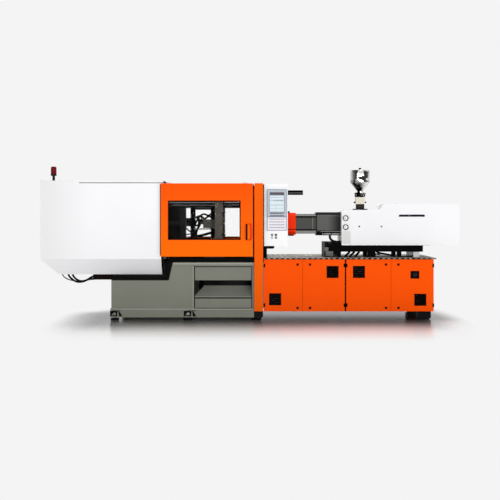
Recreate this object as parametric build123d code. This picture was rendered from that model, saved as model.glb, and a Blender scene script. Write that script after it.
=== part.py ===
from build123d import *
import os
from math import cos, pi, radians, sin, sqrt, tan

# A horizontal injection moulding machine: toggle clamp on the left, injection unit on the right.
# X runs along the machine axis to the injection end, the operator stands at -Y, Z is up from the
# floor, and X = 0 is the closing edge of the closed operator gate.

# Heights above the floor
skid_bottom = 37.0
skid_top = 150.0
low_bed_top = 527.0
way_top = 741.0
platen_half = 360.0
platen_clearance = 134.0
axis_height = way_top + platen_clearance + platen_half
deck_drop = 435.0
deck_top = axis_height - deck_drop

# Running gaps
pin_gap = 0.3
way_gap = 0.3
door_gap = 3.0
seat_gap = 0.3

# Platens and tie bars
tie_y = 250.0
tie_z = 250.0
tie_radius = 38.0
nut_radius = 62.0
nut_length = 80.0
fixed_face_x = -90.0
fixed_thickness = 200.0
fixed_back_x = fixed_face_x + fixed_thickness
mould_height_least = 291.0
mould_height_travel = 260.0
moving_thickness = 117.0
tail_thickness = 170.0
slot_count = 5
slot_pitch = 140.0
slot_width = 20.0
slot_base_width = 34.0
slot_base_depth = 14.0
slot_depth = 26.0
platen_foot_toe = 142.0
platen_foot_rise = 200.0
platen_foot_inset = 20.0
foot_play = 4.0
locating_radius = 62.5
locating_depth = 15.0
nozzle_well_radius = 90.0
nozzle_well_depth = 70.0
sprue_radius = 20.0
mould_hole_radius = 10.0
mould_hole_depth = 40.0
mould_hole_y = 175.0
mould_hole_rows = (105.0, 175.0)

# Toggle linkage: equal links, so each pin keeps a constant ratio to the rear links
toggle_z = 300.0
link_length = 252.5
lug_reach = 90.0
tail_lug_reach = 160.0
eye_radius = 46.0
toggle_pin_radius = 25.0
link_thickness = 30.0
lane_gap = 2.0
lane_arm = 54.0
lane_short = lane_arm + link_thickness + lane_gap
lane_rear = lane_short + link_thickness + lane_gap
lane_front = lane_rear + link_thickness + lane_gap
pin_overhang = 2.0
crank_radius = 110.0
crank_angle = 45.0
crank_pin_radius = 20.0
crank_eye_radius = 34.0
lug_root = 72.0
lug_root_corner = 6.0
tie_tube_radius = 22.0
tie_tube_share = 0.64
crosshead_half_length = 36.0
crosshead_half_height = 62.0

# Toggle clamp along X, as it stands when it is closed
mould_face_x = fixed_face_x - mould_height_least
moving_back_x = mould_face_x - moving_thickness
platen_pin_x = moving_back_x - lug_reach
elbow_x = platen_pin_x - link_length
tail_pin_x = elbow_x - link_length
tail_face_x = tail_pin_x - tail_lug_reach
tail_back_x = tail_face_x - tail_thickness
tie_thread_spare = 32.0
tie_stub = 20.0
tie_left = tail_back_x - nut_length - mould_height_travel - tie_thread_spare
crank_pin_x = tail_pin_x + crank_radius * cos(radians(crank_angle))
crank_pin_drop = crank_radius * sin(radians(crank_angle))
crosshead_pin_x = tail_pin_x + 2 * crank_radius * cos(radians(crank_angle))

# Clamp cylinder and ejector
rod_radius = 35.0
rod_play = 2.0
clamp_bore_radius = 80.0
clamp_cylinder_radius = 105.0
clamp_cylinder_length = 420.0
clamp_flange = 20.0
clamp_flange_half = 135.0
piston_length = 60.0
ejector_cylinder_half = 58.0
ejector_cylinder_length = 170.0
ejector_cylinder_end = 12.0
ejector_rod_radius = 20.0
ejector_rod_inset = 20.0

# Clamp bed
bed_left = -1821.0
bed_right = 143.0
bed_half_width = 600.0
bed_wall = 30.0
step_top_x = -1060.0
step_foot_x = -1082.0
way_margin = 10.0
way_width = 110.0
way_outer = platen_half + way_margin
way_inner = way_outer - way_width
skid_ledge = 15.0
skid_half_width = bed_half_width + skid_ledge
skid_width = 100.0
skid_overhang = 11.0
gusset_width = 130.0
chute_left = -747.0
chute_right = -19.0
chute_sill = 299.0
chute_lintel = 512.0
chute_plate = 6.0
chute_taper = 97.0
chute_shoulder = 260.0
bay_depth = 12.0
bay_top = 693.0

# Levelling feet
foot_radius = 54.0
foot_thickness = 24.0
foot_inset = 40.0
foot_y = bed_half_width - foot_inset
foot_places_x = (-1780.0, -842.0, 43.0)
foot_bolt_radius = 16.0

# Column covers beside the fixed platen
column_right = bed_right - 12.0
column_width = 112.0
column_left = column_right - column_width
column_face = bed_half_width + 50.0
column_depth = 90.0
column_wall = 4.0
column_bottom = 118.0

# Clamp cover
cover_left = -2731.0
cover_right = -1150.0
cover_half_width = bed_half_width + 20.0
cover_headroom = 200.0
cover_top = axis_height + platen_half + cover_headroom
cover_face_bottom = axis_height - 447.0
cover_skirt_bottom = low_bed_top + 54.0
cover_skirt_left = -2530.0
cover_skirt_half_width = bed_half_width - 150.0
cover_wall = 4.0
slot_below_top = 19.0
slot_height = 18.0
slot_top = cover_top - slot_below_top
slot_bottom = slot_top - slot_height
slot_left = -2230.0
cover_beam_width = 45.0
hose_plate_left = -2520.0
hose_plate_right = -2270.0
hose_plate_z = cover_skirt_bottom + 79.0
hose_plate_thickness = 6.0

# Beacon lamp
beacon_x = cover_left + 106.0
beacon_y = -300.0
beacon_post_radius = 17.0
beacon_post_height = 74.0
beacon_base_radius = 38.0
beacon_base_height = 21.0
beacon_lens_radius = 36.0
beacon_lens_height = 100.0

# Safety gates, one each side
gate_left = -1179.0
gate_right = 0.0
gate_depth = 30.0
gate_clearance = 10.0
gate_face = cover_half_width + gate_clearance + gate_depth
gate_bottom = way_top + 79.0
gate_top = slot_bottom
gate_skin = 3.0
window_left = gate_left + 98.0
window_right = gate_right - 164.0
window_bottom = axis_height - 194.0
window_top = axis_height + 296.0
window_lap = 20.0
pane_thickness = 6.0
guide_groove = 12.0
guide_play = 2.0
guide_length = 100.0
sill_bottom = way_top + 9.0
sill_top = gate_bottom - 14.0
sill_wall = 8.0
hanger_places_x = (-1080.0, -100.0)
hanger_thickness = 6.0
hanger_width = 60.0
hanger_drop = 6.0
hanger_bend = 4.0
roller_radius = 18.0
roller_width = 16.0
rail_width = 14.0
rail_height = 44.0
rail_inset = 40.0
rail_left = cover_left + 41.0
rail_y = cover_half_width - cover_wall - rail_inset
rail_top = slot_top - hanger_thickness - hanger_drop - 2 * roller_radius
column_top = cover_top - 35.0

# Gate handle
handle_left = -68.0
handle_right = -35.0
handle_bottom = axis_height - 202.0
handle_top = axis_height
handle_reach = 40.0
handle_bar = 22.0
handle_corner = 12.0

# Injection base cabinet
base_left = bed_right
base_right = 2326.0
base_bottom = 113.0
base_half_width = 600.0
base_post = 40.0
base_rear_wall = 4.0
base_middle_x = 1192.0
base_middle_strip = 18.0
deck_overhang = 20.0
deck_right = base_right + 30.0
deck_half_width = base_half_width + deck_overhang
deck_thickness = 15.0
notch_pitch = 75.0
notch_length = 45.0
notch_height = 8.0
notch_depth = 12.0
notch_margin = 50.0
base_foot_x = base_right - 101.0
base_foot_length = 168.0
base_foot_width = 120.0
base_foot_y = base_half_width - 160.0
base_foot_pad = 12.0
base_foot_pad_inset = 20.0

# Doors of the base, with their hinges, latches and grilles
door_thickness = 20.0
door_skin = 3.0
door_rim = 12.0
door_top = deck_top - deck_thickness - 6.0
door_seam_left_x = 640.0
door_seam_right_x = 1777.0
knuckle_radius = 6.0
knuckle_height = 45.0
knuckle_setback = 4.5
knuckle_leaf = 14.0
knuckle_leaf_depth = 3.0
knuckle_places_z = (base_bottom + 80.0, door_top - 76.0)
vent_low_z = base_bottom + 155.5
vent_high_z = door_top - 159.0
vent_places = (
    (base_left + 143.5, vent_low_z),
    (base_middle_x - 166.5, vent_high_z),
    (base_middle_x + 172.5, vent_high_z),
    (base_right - 172.5, vent_low_z - 6.0),
)
vent_size = 154.0
vent_lap = 6.0
vent_slots = 6
vent_bar = 9.0
vent_lip = 3.0
latch_size = 28.0
latch_depth = 5.0
latch_inset = 63.0
latch_inset_right = 93.0
latch_places_z = (base_bottom + 45.0, door_top - 63.0)

# Main switch on the right door
switch_x = base_right - 242.0
switch_z = door_top - 195.0
switch_plate_width = 112.0
switch_plate_height = 98.0
switch_plate_depth = 4.0
switch_knob_radius = 28.0
switch_knob_depth = 26.0
switch_spindle_radius = 14.0
switch_grip_width = 14.0

# Inside the base cabinet
tank_height = 320.0
tank_left = base_left + 97.0
tank_right = base_middle_x - 92.0
tank_half_width = base_half_width - 200.0
motor_inset = 60.0
motor_radius = 115.0
motor_length = 380.0
pump_length = 170.0
pump_radius = 62.0
pump_foot_inset = 20.0
pump_foot_half_width = 30.0
manifold_gap = 40.0
manifold_length = 200.0
manifold_half_width = 160.0
manifold_height = 120.0
valve_places_y = (-80.0, 0.0, 80.0)
valve_width = 60.0
valve_length = 140.0
valve_height = 70.0
board_left = base_middle_x + 108.0
board_right = base_right - 106.0
board_y = -150.0
board_thickness = 20.0
gear_counts = (7, 8, 4)
gear_rises = (437.0, 277.0, 77.0)
gear_heights = (90.0, 80.0, 120.0)
gear_depths = (70.0, 80.0, 90.0)
gear_margin = 60.0
gear_fill = 0.82

# Control box and panel
box_left = base_left
box_width = 306.0
box_right = box_left + box_width
box_bottom = deck_top + 154.0
box_top = box_bottom + 798.0
box_face = base_half_width
box_depth = 150.0
panel_left = box_left + 38.0
panel_right = panel_left + 253.0
panel_bottom = box_bottom + 198.0
panel_split = panel_bottom + 179.0
panel_top = panel_bottom + 529.0
panel_depth = 50.0
keypad_setback = 12.0
screen_margin = 32.0
screen_bottom = panel_split + 55.0
screen_top = panel_top - 77.0
screen_depth = 3.0
screen_thickness = 2.0
button_left_x = box_left + 103.0
button_pitch_x = 51.0
button_top_z = box_bottom + 142.0
button_pitch_z = 36.0
button_radius = 12.5
button_stem_radius = 9.5
button_depth = 9.0
button_travel = 4.0
button_stem_depth = 2.0
bracket_bar = 28.0
bracket_reach = box_left + 135.0
bracket_top = box_bottom
bracket_setback = 60.0
boom_right = box_right + 201.0
boom_top = box_top - 79.0
boom_bottom = boom_top - 60.0
boom_y = -box_face + 100.0
boom_bar = 20.0
boom_depth = 30.0
boom_end = 14.0

# Beams and nose casting under the injection unit
beam_top = axis_height - 285.0
beam_bottom = beam_top - 82.0
beam_left = 1168.0
beam_right = 2246.0
beam_inner = 205.0
beam_outer = 285.0
beam_feet = ((1518.0, 1620.0), (1909.0, 1962.0), (2120.0, 2200.0))
nose_left = beam_left - 220.0
nose_top = beam_top + 43.0
nose_floor = deck_top + 30.0
nose_foot = 62.0
nose_half_width = 250.0
nose_wall = 40.0

# Injection housing, its carriage plate and cylinders
housing_left = 1330.0
housing_length = 230.0
housing_right = housing_left + housing_length
housing_half_width = 245.0
housing_half_height = 130.0
housing_leg = 70.0
carriage_plate = 24.0
carriage_left = housing_left - 100.0
carriage_right = 2330.0
carriage_margin = 5.0
inject_y = 185.0
inject_radius = 52.0
inject_length = 340.0
inject_end = 20.0
inject_rod_radius = 26.0
inject_rod_start = 40.0
injection_stroke = 190.0

# Barrel and screw
barrel_left = 430.0
barrel_right = housing_right
barrel_radius = 62.0
nozzle_clearance = 2.0
nozzle_tip_x = fixed_back_x - nozzle_well_depth + nozzle_clearance
nozzle_tip_radius = 9.0
nozzle_neck_radius = 17.0
nozzle_cone = 12.0
nozzle_neck_length = 150.0
nozzle_shoulder = 15.0
nozzle_radius = 34.0
nozzle_head = 90.0
nozzle_flange_step = 10.0
screw_radius = 27.5
screw_gap = 0.3
screw_tip_x = barrel_left + 15.0
screw_tip_length = 60.0
screw_tip_radius = 4.0
block_left = barrel_left + 40.0
block_right = block_left + 104.0
block_half = 148.0
block_chamfer = 44.0
shroud_split = block_right + 274.0
shroud_front_half = 132.0
shroud_front_chamfer = 53.0
shroud_rear_half = 155.0
shroud_rear_chamfer = 48.0
shroud_wall = 3.0
shroud_cap = 8.0

# Injection drive
drive_gap = 110.0
drive_left = housing_right + inject_length + drive_gap
drive_length = 70.0
drive_half_height = 100.0
drive_web = 20.0
motor_drive_radius = 95.0
motor_drive_length = 330.0

# Injection cover
hood_left = housing_left - 158.0
hood_right = 2731.0
hood_half_width = 300.0
hood_bottom = beam_top + 3.0
hood_low_top = axis_height + 185.0
hood_high_top = axis_height + 268.0
hood_ramp_left = 1650.0
hood_ramp_right = 1744.0
hood_ramp_bend = 30.0
hood_ramp_drop = 12.0
hood_wall = 3.0
hood_nose_chamfer = 25.0
shroud_right = hood_left + 14.0
scale_left = hood_right - 805.0
scale_right = scale_left + 342.0
scale_z = axis_height + 109.0
scale_height = 30.0
gauge_x = hood_left + 51.0
gauge_places_z = (axis_height - 42.0, axis_height + 76.0)
gauge_radius = 37.0
gauge_depth = 22.0
gauge_wall = 3.0
needle_length = 26.0
needle_hub = 4.0
needle_depth = 3.0
needle_half_width = 1.5

# Hopper
hopper_x = housing_left + 118.0
hopper_plate_half = 90.0
hopper_plate_thickness = 16.0
hopper_base_half = 52.0
hopper_base_top = hood_low_top + 79.0
hopper_foot_inset = 6.0
hopper_throat = 25.0
sight_half = 60.0
sight_top = hopper_base_top + 94.0
sight_wall = 4.0
sight_frame = 8.0
flange_radius = 64.0
flange_thickness = 11.0
neck_radius = 36.0
neck_collar = 14.0
neck_bottom = sight_top + 45.0
cone_bottom = neck_bottom + 37.0
collar_gap = 19.0
cone_top = cone_bottom + 118.0
bowl_top = cone_top + 157.0
bowl_radius = 133.0
hopper_wall = 3.0
lid_overlap = 4.0
lid_thickness = 6.0
lid_rise = 6.0
lid_knob_radius = 12.0
lid_knob_height = 33.0
lid_knuckle_radius = 7.0
lid_knuckle_length = 50.0
lid_ear_height = 16.0
shutter_thickness = 8.0
shutter_z = hopper_base_top - 33.0
shutter_half = 32.0
shutter_stop = 8.0
shutter_hole_radius = 17.0
shutter_handle = 40.0
shutter_handle_half = 18.0

# Hoses under the clamp cover
hose_radius = 13.0
thin_hose_radius = 7.0

parts = {}


def block(x0, x1, y0, y1, z0, z1):
    """A box between two opposite corners."""
    middle = ((x0 + x1) / 2, (y0 + y1) / 2, (z0 + z1) / 2)
    return Pos(*middle) * Box(abs(x1 - x0), abs(y1 - y0), abs(z1 - z0))


def rod(axis, a, b, radius, u, v):
    """A cylinder along an axis from a to b, centred on the two other coordinates in x, y, z order."""
    length, middle = abs(b - a), (a + b) / 2
    if axis == "x":
        return Pos(middle, u, v) * Rot(0, 90, 0) * Cylinder(radius, length)
    if axis == "y":
        return Pos(u, middle, v) * Rot(90, 0, 0) * Cylinder(radius, length)
    return Pos(u, v, middle) * Cylinder(radius, length)


def slab_xz(points, y0, y1):
    """A plate with its outline in X and Z, between two values of Y."""
    face = Plane.XZ * make_face(Polyline(*points, close=True))
    return extrude(face, amount=y1 - y0, dir=(0, 1, 0)).moved(Location((0, y0, 0)))


def slab_yz(points, x0, x1):
    """A plate with its outline in Y and Z, between two values of X."""
    face = Plane.YZ * make_face(Polyline(*points, close=True))
    return extrude(face, amount=x1 - x0, dir=(1, 0, 0)).moved(Location((x0, 0, 0)))


def hull_plate(circles, y0, y1):
    """A plate around round eyes, given as (x, z, radius), between two values of Y."""
    rings = Sketch() + [Pos(x, z) * Circle(r) for x, z, r in circles]
    face = Plane.XZ * make_hull(rings.edges())
    return extrude(face, amount=y1 - y0, dir=(0, 1, 0)).moved(Location((0, y0, 0)))


def turned(points, x, y):
    """A body turned about the vertical through x, y, from (radius, z) points."""
    outline = Plane.XZ * make_face(Polyline(*points, close=True))
    return Pos(x, y, 0) * revolve(outline, Axis.Z)


def mirrored_y(shape):
    return mirror(shape, Plane.XZ)


def both_sides(shape):
    """The shape and its mirror image across the machine's middle plane, as separate solids."""
    return [shape, mirrored_y(shape)]


def chamfered_square(half, chamfer):
    """The corners of a square with cut corners, round the machine axis, as (y, z)."""
    flat = half - chamfer
    ring = [(-half, -flat), (-half, flat), (-flat, half), (flat, half)]
    ring += [(half, flat), (half, -flat), (flat, -half), (-flat, -half)]
    return [(y, z + axis_height) for y, z in ring]


def keep(name, *shapes):
    """Files the solids of one node."""
    solids = []
    for shape in shapes:
        solids += shape if isinstance(shape, list) else [shape]
    parts[name] = [s for shape in solids for s in shape.solids()]


# Clamp bed
def clamp_bed():
    side_outline = [
        (bed_left, skid_top),
        (bed_right, skid_top),
        (bed_right, way_top),
        (step_top_x, way_top),
        (step_foot_x, low_bed_top),
        (bed_left, low_bed_top),
    ]
    outer, inner = bed_half_width, bed_half_width - bed_wall
    bed = slab_xz(side_outline, -outer, -inner) + slab_xz(side_outline, inner, outer)
    bed += block(bed_left, step_foot_x, -inner, inner, low_bed_top - bed_wall, low_bed_top)
    bed += block(bed_left, bed_left + bed_wall, -inner, inner, skid_top, low_bed_top)
    bed += block(bed_right - bed_wall, bed_right, -inner, inner, skid_top, way_top)
    bed += block(step_foot_x, step_foot_x + bed_wall, -inner, inner, skid_top, way_top)
    for side in (-1, 1):
        near, far = side * way_inner, side * inner
        bed += block(step_top_x, bed_right, near, far, way_top - bed_wall, way_top)
        low = low_bed_top - bed_wall
        bed += block(bed_left, step_top_x, near, side * way_outer, low, way_top)
        skid_near = side * (skid_half_width - skid_width)
        skid_far = side * skid_half_width
        skid_left, skid_right = bed_left - skid_overhang, column_right
        bed += block(skid_left, skid_right, skid_near, skid_far, skid_bottom, skid_top)
        bed -= block(column_left, column_right + 1, side * outer, skid_far + side, column_bottom,
                     skid_top + 1)
    platen_bridge = fixed_face_x - bed_wall
    bed += block(platen_bridge, bed_right, -way_inner, way_inner, way_top - bed_wall, way_top)
    for side in (-1, 1):
        skid_face = side * (skid_half_width + 1)
        skid_back = side * (skid_half_width - skid_width / 2)
        for left in (bed_left, foot_places_x[1] + foot_radius - gusset_width / 2):
            gusset = [
                (left + bed_wall / 2, skid_top - bed_wall / 2),
                (left + gusset_width, skid_top - bed_wall / 2),
                (left + bed_wall / 2, skid_bottom + bed_wall / 2),
            ]
            bed -= slab_xz(gusset, min(skid_face, skid_back), max(skid_face, skid_back))
    bed -= block(chute_left, chute_right, -outer - 1, -outer + bay_depth, skid_top, bay_top)
    bed -= block(chute_left, chute_right, -outer - 1, -inner + 1, chute_sill, chute_lintel)
    beam_face = cover_skirt_half_width
    beam = block(bed_left, step_foot_x, -beam_face, -beam_face + cover_beam_width, low_bed_top,
                 cover_skirt_bottom)
    keep("clamp_bed", bed + beam + mirrored_y(beam))


def drop_chute():
    front_y = -bed_half_width + bed_wall
    back_y = bed_half_width - bed_wall
    low, high = chute_sill, way_top - bed_wall
    outline = [
        (front_y - bed_wall, low),
        (front_y - bed_wall, low + chute_plate),
        (front_y + bed_wall, low + 3 * chute_plate),
        (back_y, high - chute_plate),
        (back_y, high - 3 * chute_plate),
        (front_y + bed_wall, low),
    ]
    left, right = chute_left + seat_gap, chute_right - seat_gap
    plate = slab_yz(outline, left, right)
    narrow = slab_cut_plan(left, front_y + bed_wall, back_y)
    keep("drop_chute", plate - narrow)


def slab_cut_plan(left, y0, y1):
    """What the chute's tapering left edge leaves off, seen from above."""
    shoulder = y0 + chute_shoulder
    points = [(left - 1, y0), (left, y0), (left + chute_taper, shoulder), (left + chute_taper, y1 + 1)]
    points += [(left - 1, y1 + 1)]
    face = make_face(Polyline(*points, close=True))
    return extrude(face, amount=deck_top)


def levelling_feet():
    feet = []
    for x in foot_places_x:
        for y in (-foot_y, foot_y):
            pad = rod("z", 0, foot_thickness, foot_radius, x, y)
            bolt = Pos(x, y, (foot_thickness + skid_bottom) / 2) * extrude_hex(
                foot_bolt_radius, skid_bottom - foot_thickness
            )
            feet.append(pad + bolt)
    for y in (-base_foot_y, base_foot_y):
        left = base_foot_x - base_foot_length / 2
        right = base_foot_x + base_foot_length / 2
        half, inset = base_foot_width / 2, base_foot_pad_inset
        beam = block(left, right, y - half, y + half, base_foot_pad, base_bottom)
        pad = block(left + inset, right - inset, y - half + inset / 2, y + half - inset / 2, 0, base_foot_pad)
        feet.append(beam + pad)
    keep("levelling_feet", feet)


def extrude_hex(radius, height):
    """A hexagonal bolt shank, centred on its middle."""
    return Pos(0, 0, -height / 2) * extrude(RegularPolygon(radius, 6), amount=height)


# Clamp cover and beacon
def clamp_cover():
    def shell(inset):
        half = cover_half_width - inset
        left = cover_left + inset
        right = cover_right + inset
        body = block(left, right, -half, half, cover_face_bottom, cover_top - inset)
        foot_half = cover_skirt_half_width - inset
        foot_left = cover_skirt_left + inset
        top = Pos((left + right) / 2, 0, cover_face_bottom) * Rectangle(right - left, 2 * half)
        low = Pos((foot_left + right) / 2, 0, cover_skirt_bottom)
        low *= Rectangle(right - foot_left, 2 * foot_half)
        return body + loft([top, low])

    cover = shell(0) - shell(cover_wall)
    half = cover_half_width - cover_wall
    inner_left = cover_skirt_left + cover_wall
    skirt_half = cover_skirt_half_width - cover_wall
    cover -= block(inner_left, cover_right, -skirt_half, skirt_half, cover_skirt_bottom - 1,
                   cover_skirt_bottom + 2 * cover_wall)
    for side in (-1, 1):
        face, back = side * (cover_half_width + 1), side * (half - 1)
        cover -= block(slot_left, cover_right + 1, face, back, slot_bottom, slot_top)
    shelf = block(hose_plate_left, hose_plate_right, -half, half, hose_plate_z,
                  hose_plate_z + hose_plate_thickness)
    keep("clamp_cover", cover + (shelf & shell(0)))


def beacon():
    z = cover_top
    post = [
        (0, z),
        (beacon_post_radius, z),
        (beacon_post_radius, z + beacon_post_height),
        (beacon_base_radius, z + beacon_post_height),
        (beacon_base_radius, z + beacon_post_height + beacon_base_height),
        (0, z + beacon_post_height + beacon_base_height),
    ]
    keep("beacon_post", turned(post, beacon_x, beacon_y))
    z += beacon_post_height + beacon_base_height
    r, top = beacon_lens_radius, z + beacon_lens_height
    lens = [(0, z), (r, z), (r, top - r / 2), (r * 0.72, top), (0, top)]
    keep("beacon_lens", turned(lens, beacon_x, beacon_y))


# Safety gates
def gate(side, name):
    """A sliding gate: side is -1 at the operator's side and 1 at the rear."""
    face, back = gate_face, gate_face - gate_depth
    panel = block(gate_left, gate_right, -face, -back, gate_bottom, gate_top)
    rim = guide_groove + 2 * gate_skin + 7
    pocket_back = -face + gate_skin
    panel -= block(gate_left + rim, gate_right - rim, pocket_back, -back + 1, gate_bottom + rim,
                   gate_top - rim)
    panel -= block(window_left, window_right, -face - 1, pocket_back + 1, window_bottom, window_top)
    groove_y = -face + gate_depth / 2
    panel -= block(gate_left - 1, gate_right + 1, groove_y - guide_groove / 2,
                   groove_y + guide_groove / 2, gate_bottom - 1, gate_bottom + guide_groove)
    pane = block(window_left - window_lap, window_right + window_lap, pocket_back,
                 pocket_back + pane_thickness, window_bottom - window_lap, window_top + window_lap)
    grip_face = -face - handle_reach
    outline = [
        (-face, handle_bottom),
        (grip_face + handle_corner, handle_bottom),
        (grip_face, handle_bottom + handle_corner),
        (grip_face, handle_top - handle_corner),
        (grip_face + handle_corner, handle_top),
        (-face, handle_top),
        (-face, handle_top - handle_bar),
        (grip_face + handle_bar, handle_top - handle_bar),
        (grip_face + handle_bar, handle_bottom + handle_bar),
        (-face, handle_bottom + handle_bar),
    ]
    handle = slab_yz(outline, handle_left, handle_right)
    hangers = []
    for x in hanger_places_x:
        x0, x1 = x - hanger_width / 2, x + hanger_width / 2
        z1 = (slot_bottom + slot_top) / 2 + hanger_thickness / 2
        z0 = z1 - hanger_thickness
        inner = rail_y + rail_width / 2 + hanger_bend
        arm = block(x0, x1, -back, -inner, z0, z1)
        arm += block(x0, x1, -back, -back + hanger_thickness, gate_top - rim, z1)
        arm += block(x0, x1, -inner - hanger_thickness, -inner, rail_top + hanger_bend, z0 + 1)
        roller_z = rail_top + roller_radius
        arm += rod("y", -inner, -inner + roller_width, roller_radius, x, roller_z)
        hangers.append(arm)
    pieces = {"gate": [panel, handle] + hangers, "window": [pane]}
    for kind, solids in pieces.items():
        keep(f"{name}_{kind}", solids if side < 0 else [mirrored_y(s) for s in solids])


def gate_rails():
    rail = block(rail_left, column_left, -rail_y - rail_width / 2, -rail_y + rail_width / 2,
                 rail_top - rail_height, rail_top - way_gap)
    groove_y = gate_face - gate_depth / 2
    fin = guide_groove / 2 - guide_play
    sill = block(step_foot_x, column_left, -gate_face, -bed_half_width + 20, sill_bottom, sill_top)
    floor = sill_bottom + sill_wall
    sill -= block(step_foot_x - 1, column_left + 1, -gate_face + sill_wall, -bed_half_width + 21, floor,
                  sill_top + 1)
    sill += block(step_foot_x, step_foot_x + guide_length, -groove_y - fin, -groove_y + fin, floor,
                  gate_bottom + guide_groove - guide_play)
    return both_sides(rail) + both_sides(sill)


def column_covers():
    outer, inner = column_face, column_face - column_depth
    column = block(column_left, column_right, -outer, -inner, column_bottom, column_top)
    column -= block(column_left + column_wall, column_right - column_wall, -outer + column_wall,
                    -inner + 1, column_bottom + column_wall, column_top - column_wall)
    column -= block(column_left - 1, column_right + 1, -bed_half_width, -inner + 1, column_bottom - 1,
                    way_top)
    keep("column_covers", both_sides(column))


# Platens and tie bars
def tie_places():
    return [(y, axis_height + z) for y in (-tie_y, tie_y) for z in (-tie_z, tie_z)]


def platen_with_feet(left, right, foot_left, foot_right):
    """A platen plate with two feet that stand on the ways."""
    low, high = axis_height - platen_half, axis_height + platen_half
    body = block(left, right, -platen_half, platen_half, low, high)
    for side in (-1, 1):
        outline = [
            (foot_left, way_top + way_gap),
            (foot_right, way_top + way_gap),
            (foot_right, low),
            (right, low + 1),
            (left, low + platen_foot_rise),
            (foot_left, low),
        ]
        near, far = sorted((side * (tie_y + tie_radius + foot_play), side * platen_half))
        body += slab_xz(outline, near, far)
    return body


def fixed_platen():
    low, high = axis_height - platen_half, axis_height + platen_half
    platen = block(fixed_face_x, fixed_back_x, -platen_half, platen_half, low, high)
    for side in (-1, 1):
        near, far = sorted((side * way_inner, side * platen_half))
        platen += block(fixed_face_x, fixed_back_x, near, far, way_top, low)
    for y, z in tie_places():
        platen -= rod("x", fixed_face_x - 1, fixed_back_x + 1, tie_radius + pin_gap, y, z)
    platen -= rod("x", fixed_face_x - 1, fixed_face_x + locating_depth, locating_radius, 0, axis_height)
    platen -= rod("x", fixed_face_x, fixed_back_x, sprue_radius, 0, axis_height)
    well = fixed_back_x - nozzle_well_depth
    platen -= rod("x", well, fixed_back_x + 1, nozzle_well_radius, 0, axis_height)
    for y in (-mould_hole_y, mould_hole_y):
        for row in mould_hole_rows:
            for z in (-row, row):
                hole_z = axis_height + z
                platen -= rod("x", fixed_face_x - 1, fixed_face_x + mould_hole_depth,
                              mould_hole_radius, y, hole_z)
    keep("fixed_platen", platen)
    bars, nuts = [], []
    right = fixed_back_x + nut_length + tie_stub
    for y, z in tie_places():
        bars.append(rod("x", tie_left, right, tie_radius, y, z))
        nut = rod("x", fixed_back_x, fixed_back_x + nut_length, nut_radius, y, z)
        nuts.append(nut - rod("x", fixed_back_x - 1, right, tie_radius + pin_gap, y, z))
    keep("tie_bars", bars, nuts)


def lane(side, start):
    """The two Y values of a link that runs in the lane starting at a distance from the middle."""
    return sorted((side * start, side * (start + link_thickness)))


def lug(side, level, x, root_x, start, bore):
    """A lug from a platen face to a toggle pin: bore is the radius of its hole, or 0."""
    z = axis_height + level * toggle_z
    y0, y1 = lane(side, start)
    circles = [(x, z, eye_radius)]
    circles += [(root_x, z + way * lug_root, lug_root_corner) for way in (-1, 1)]
    plate = hull_plate(circles, y0, y1)
    return plate - rod("y", y0 - 1, y1 + 1, bore, x, z) if bore else plate


def moving_platen():
    platen = platen_with_feet(moving_back_x, mould_face_x, moving_back_x - platen_foot_toe,
                              mould_face_x - platen_foot_inset)
    for y, z in tie_places():
        platen -= rod("x", moving_back_x - 1, mould_face_x + 1, tie_radius + pin_gap, y, z)
    platen -= rod("x", moving_back_x - 1, mould_face_x + 1, ejector_rod_radius + pin_gap, 0, axis_height)
    first = -(slot_count - 1) / 2 * slot_pitch
    middle = ejector_rod_radius * 3
    for k in range(slot_count):
        z = axis_height + first + k * slot_pitch
        mouth, base = slot_width / 2, slot_base_width / 2
        edge, deep = mould_face_x - slot_depth + slot_base_depth, mould_face_x - slot_depth
        outline = [
            (mould_face_x + 1, z - mouth),
            (mould_face_x + 1, z + mouth),
            (edge, z + mouth),
            (edge, z + base),
            (deep, z + base),
            (deep, z - base),
            (edge, z - base),
            (edge, z - mouth),
        ]
        for y0, y1 in ((-platen_half - 1, -middle), (middle, platen_half + 1)):
            platen -= slab_xz(outline, y0, y1)
    for side in (-1, 1):
        for level in (-1, 1):
            z = axis_height + level * toggle_z
            platen += lug(side, level, platen_pin_x, moving_back_x, lane_rear, 0)
            start = side * (lane_rear + link_thickness)
            end = side * (lane_front + link_thickness + pin_overhang)
            platen += rod("y", start, end, toggle_pin_radius, platen_pin_x, z)
    keep("moving_platen", platen)


def tail_platen():
    platen = platen_with_feet(tail_back_x, tail_face_x, tail_back_x, tail_face_x)
    for y, z in tie_places():
        platen -= rod("x", tail_back_x - 1, tail_face_x + 1, tie_radius + pin_gap, y, z)
    platen -= rod("x", tail_back_x - 1, tail_face_x + 1, rod_radius + rod_play, 0, axis_height)
    for side in (-1, 1):
        for level in (-1, 1):
            bore = toggle_pin_radius + pin_gap
            platen += lug(side, level, tail_pin_x, tail_face_x, lane_front, bore)
    nuts = []
    for y, z in tie_places():
        nut = rod("x", tail_back_x - nut_length, tail_back_x, nut_radius, y, z)
        nuts.append(nut - rod("x", tail_back_x - nut_length - 1, tail_back_x + 1, tie_radius + pin_gap, y, z))
    end = tail_back_x - clamp_cylinder_length
    half = clamp_flange_half
    low, high = axis_height - half, axis_height + half
    cylinder = rod("x", end, tail_back_x, clamp_cylinder_radius, 0, axis_height)
    cylinder += block(tail_back_x - clamp_flange, tail_back_x, -half, half, low, high)
    cylinder -= rod("x", end + clamp_flange, tail_back_x - clamp_flange, clamp_bore_radius, 0, axis_height)
    cylinder -= rod("x", tail_back_x - clamp_flange - 1, tail_back_x + 1, rod_radius + pin_gap, 0, axis_height)
    keep("tail_platen", platen, nuts, cylinder)


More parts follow.
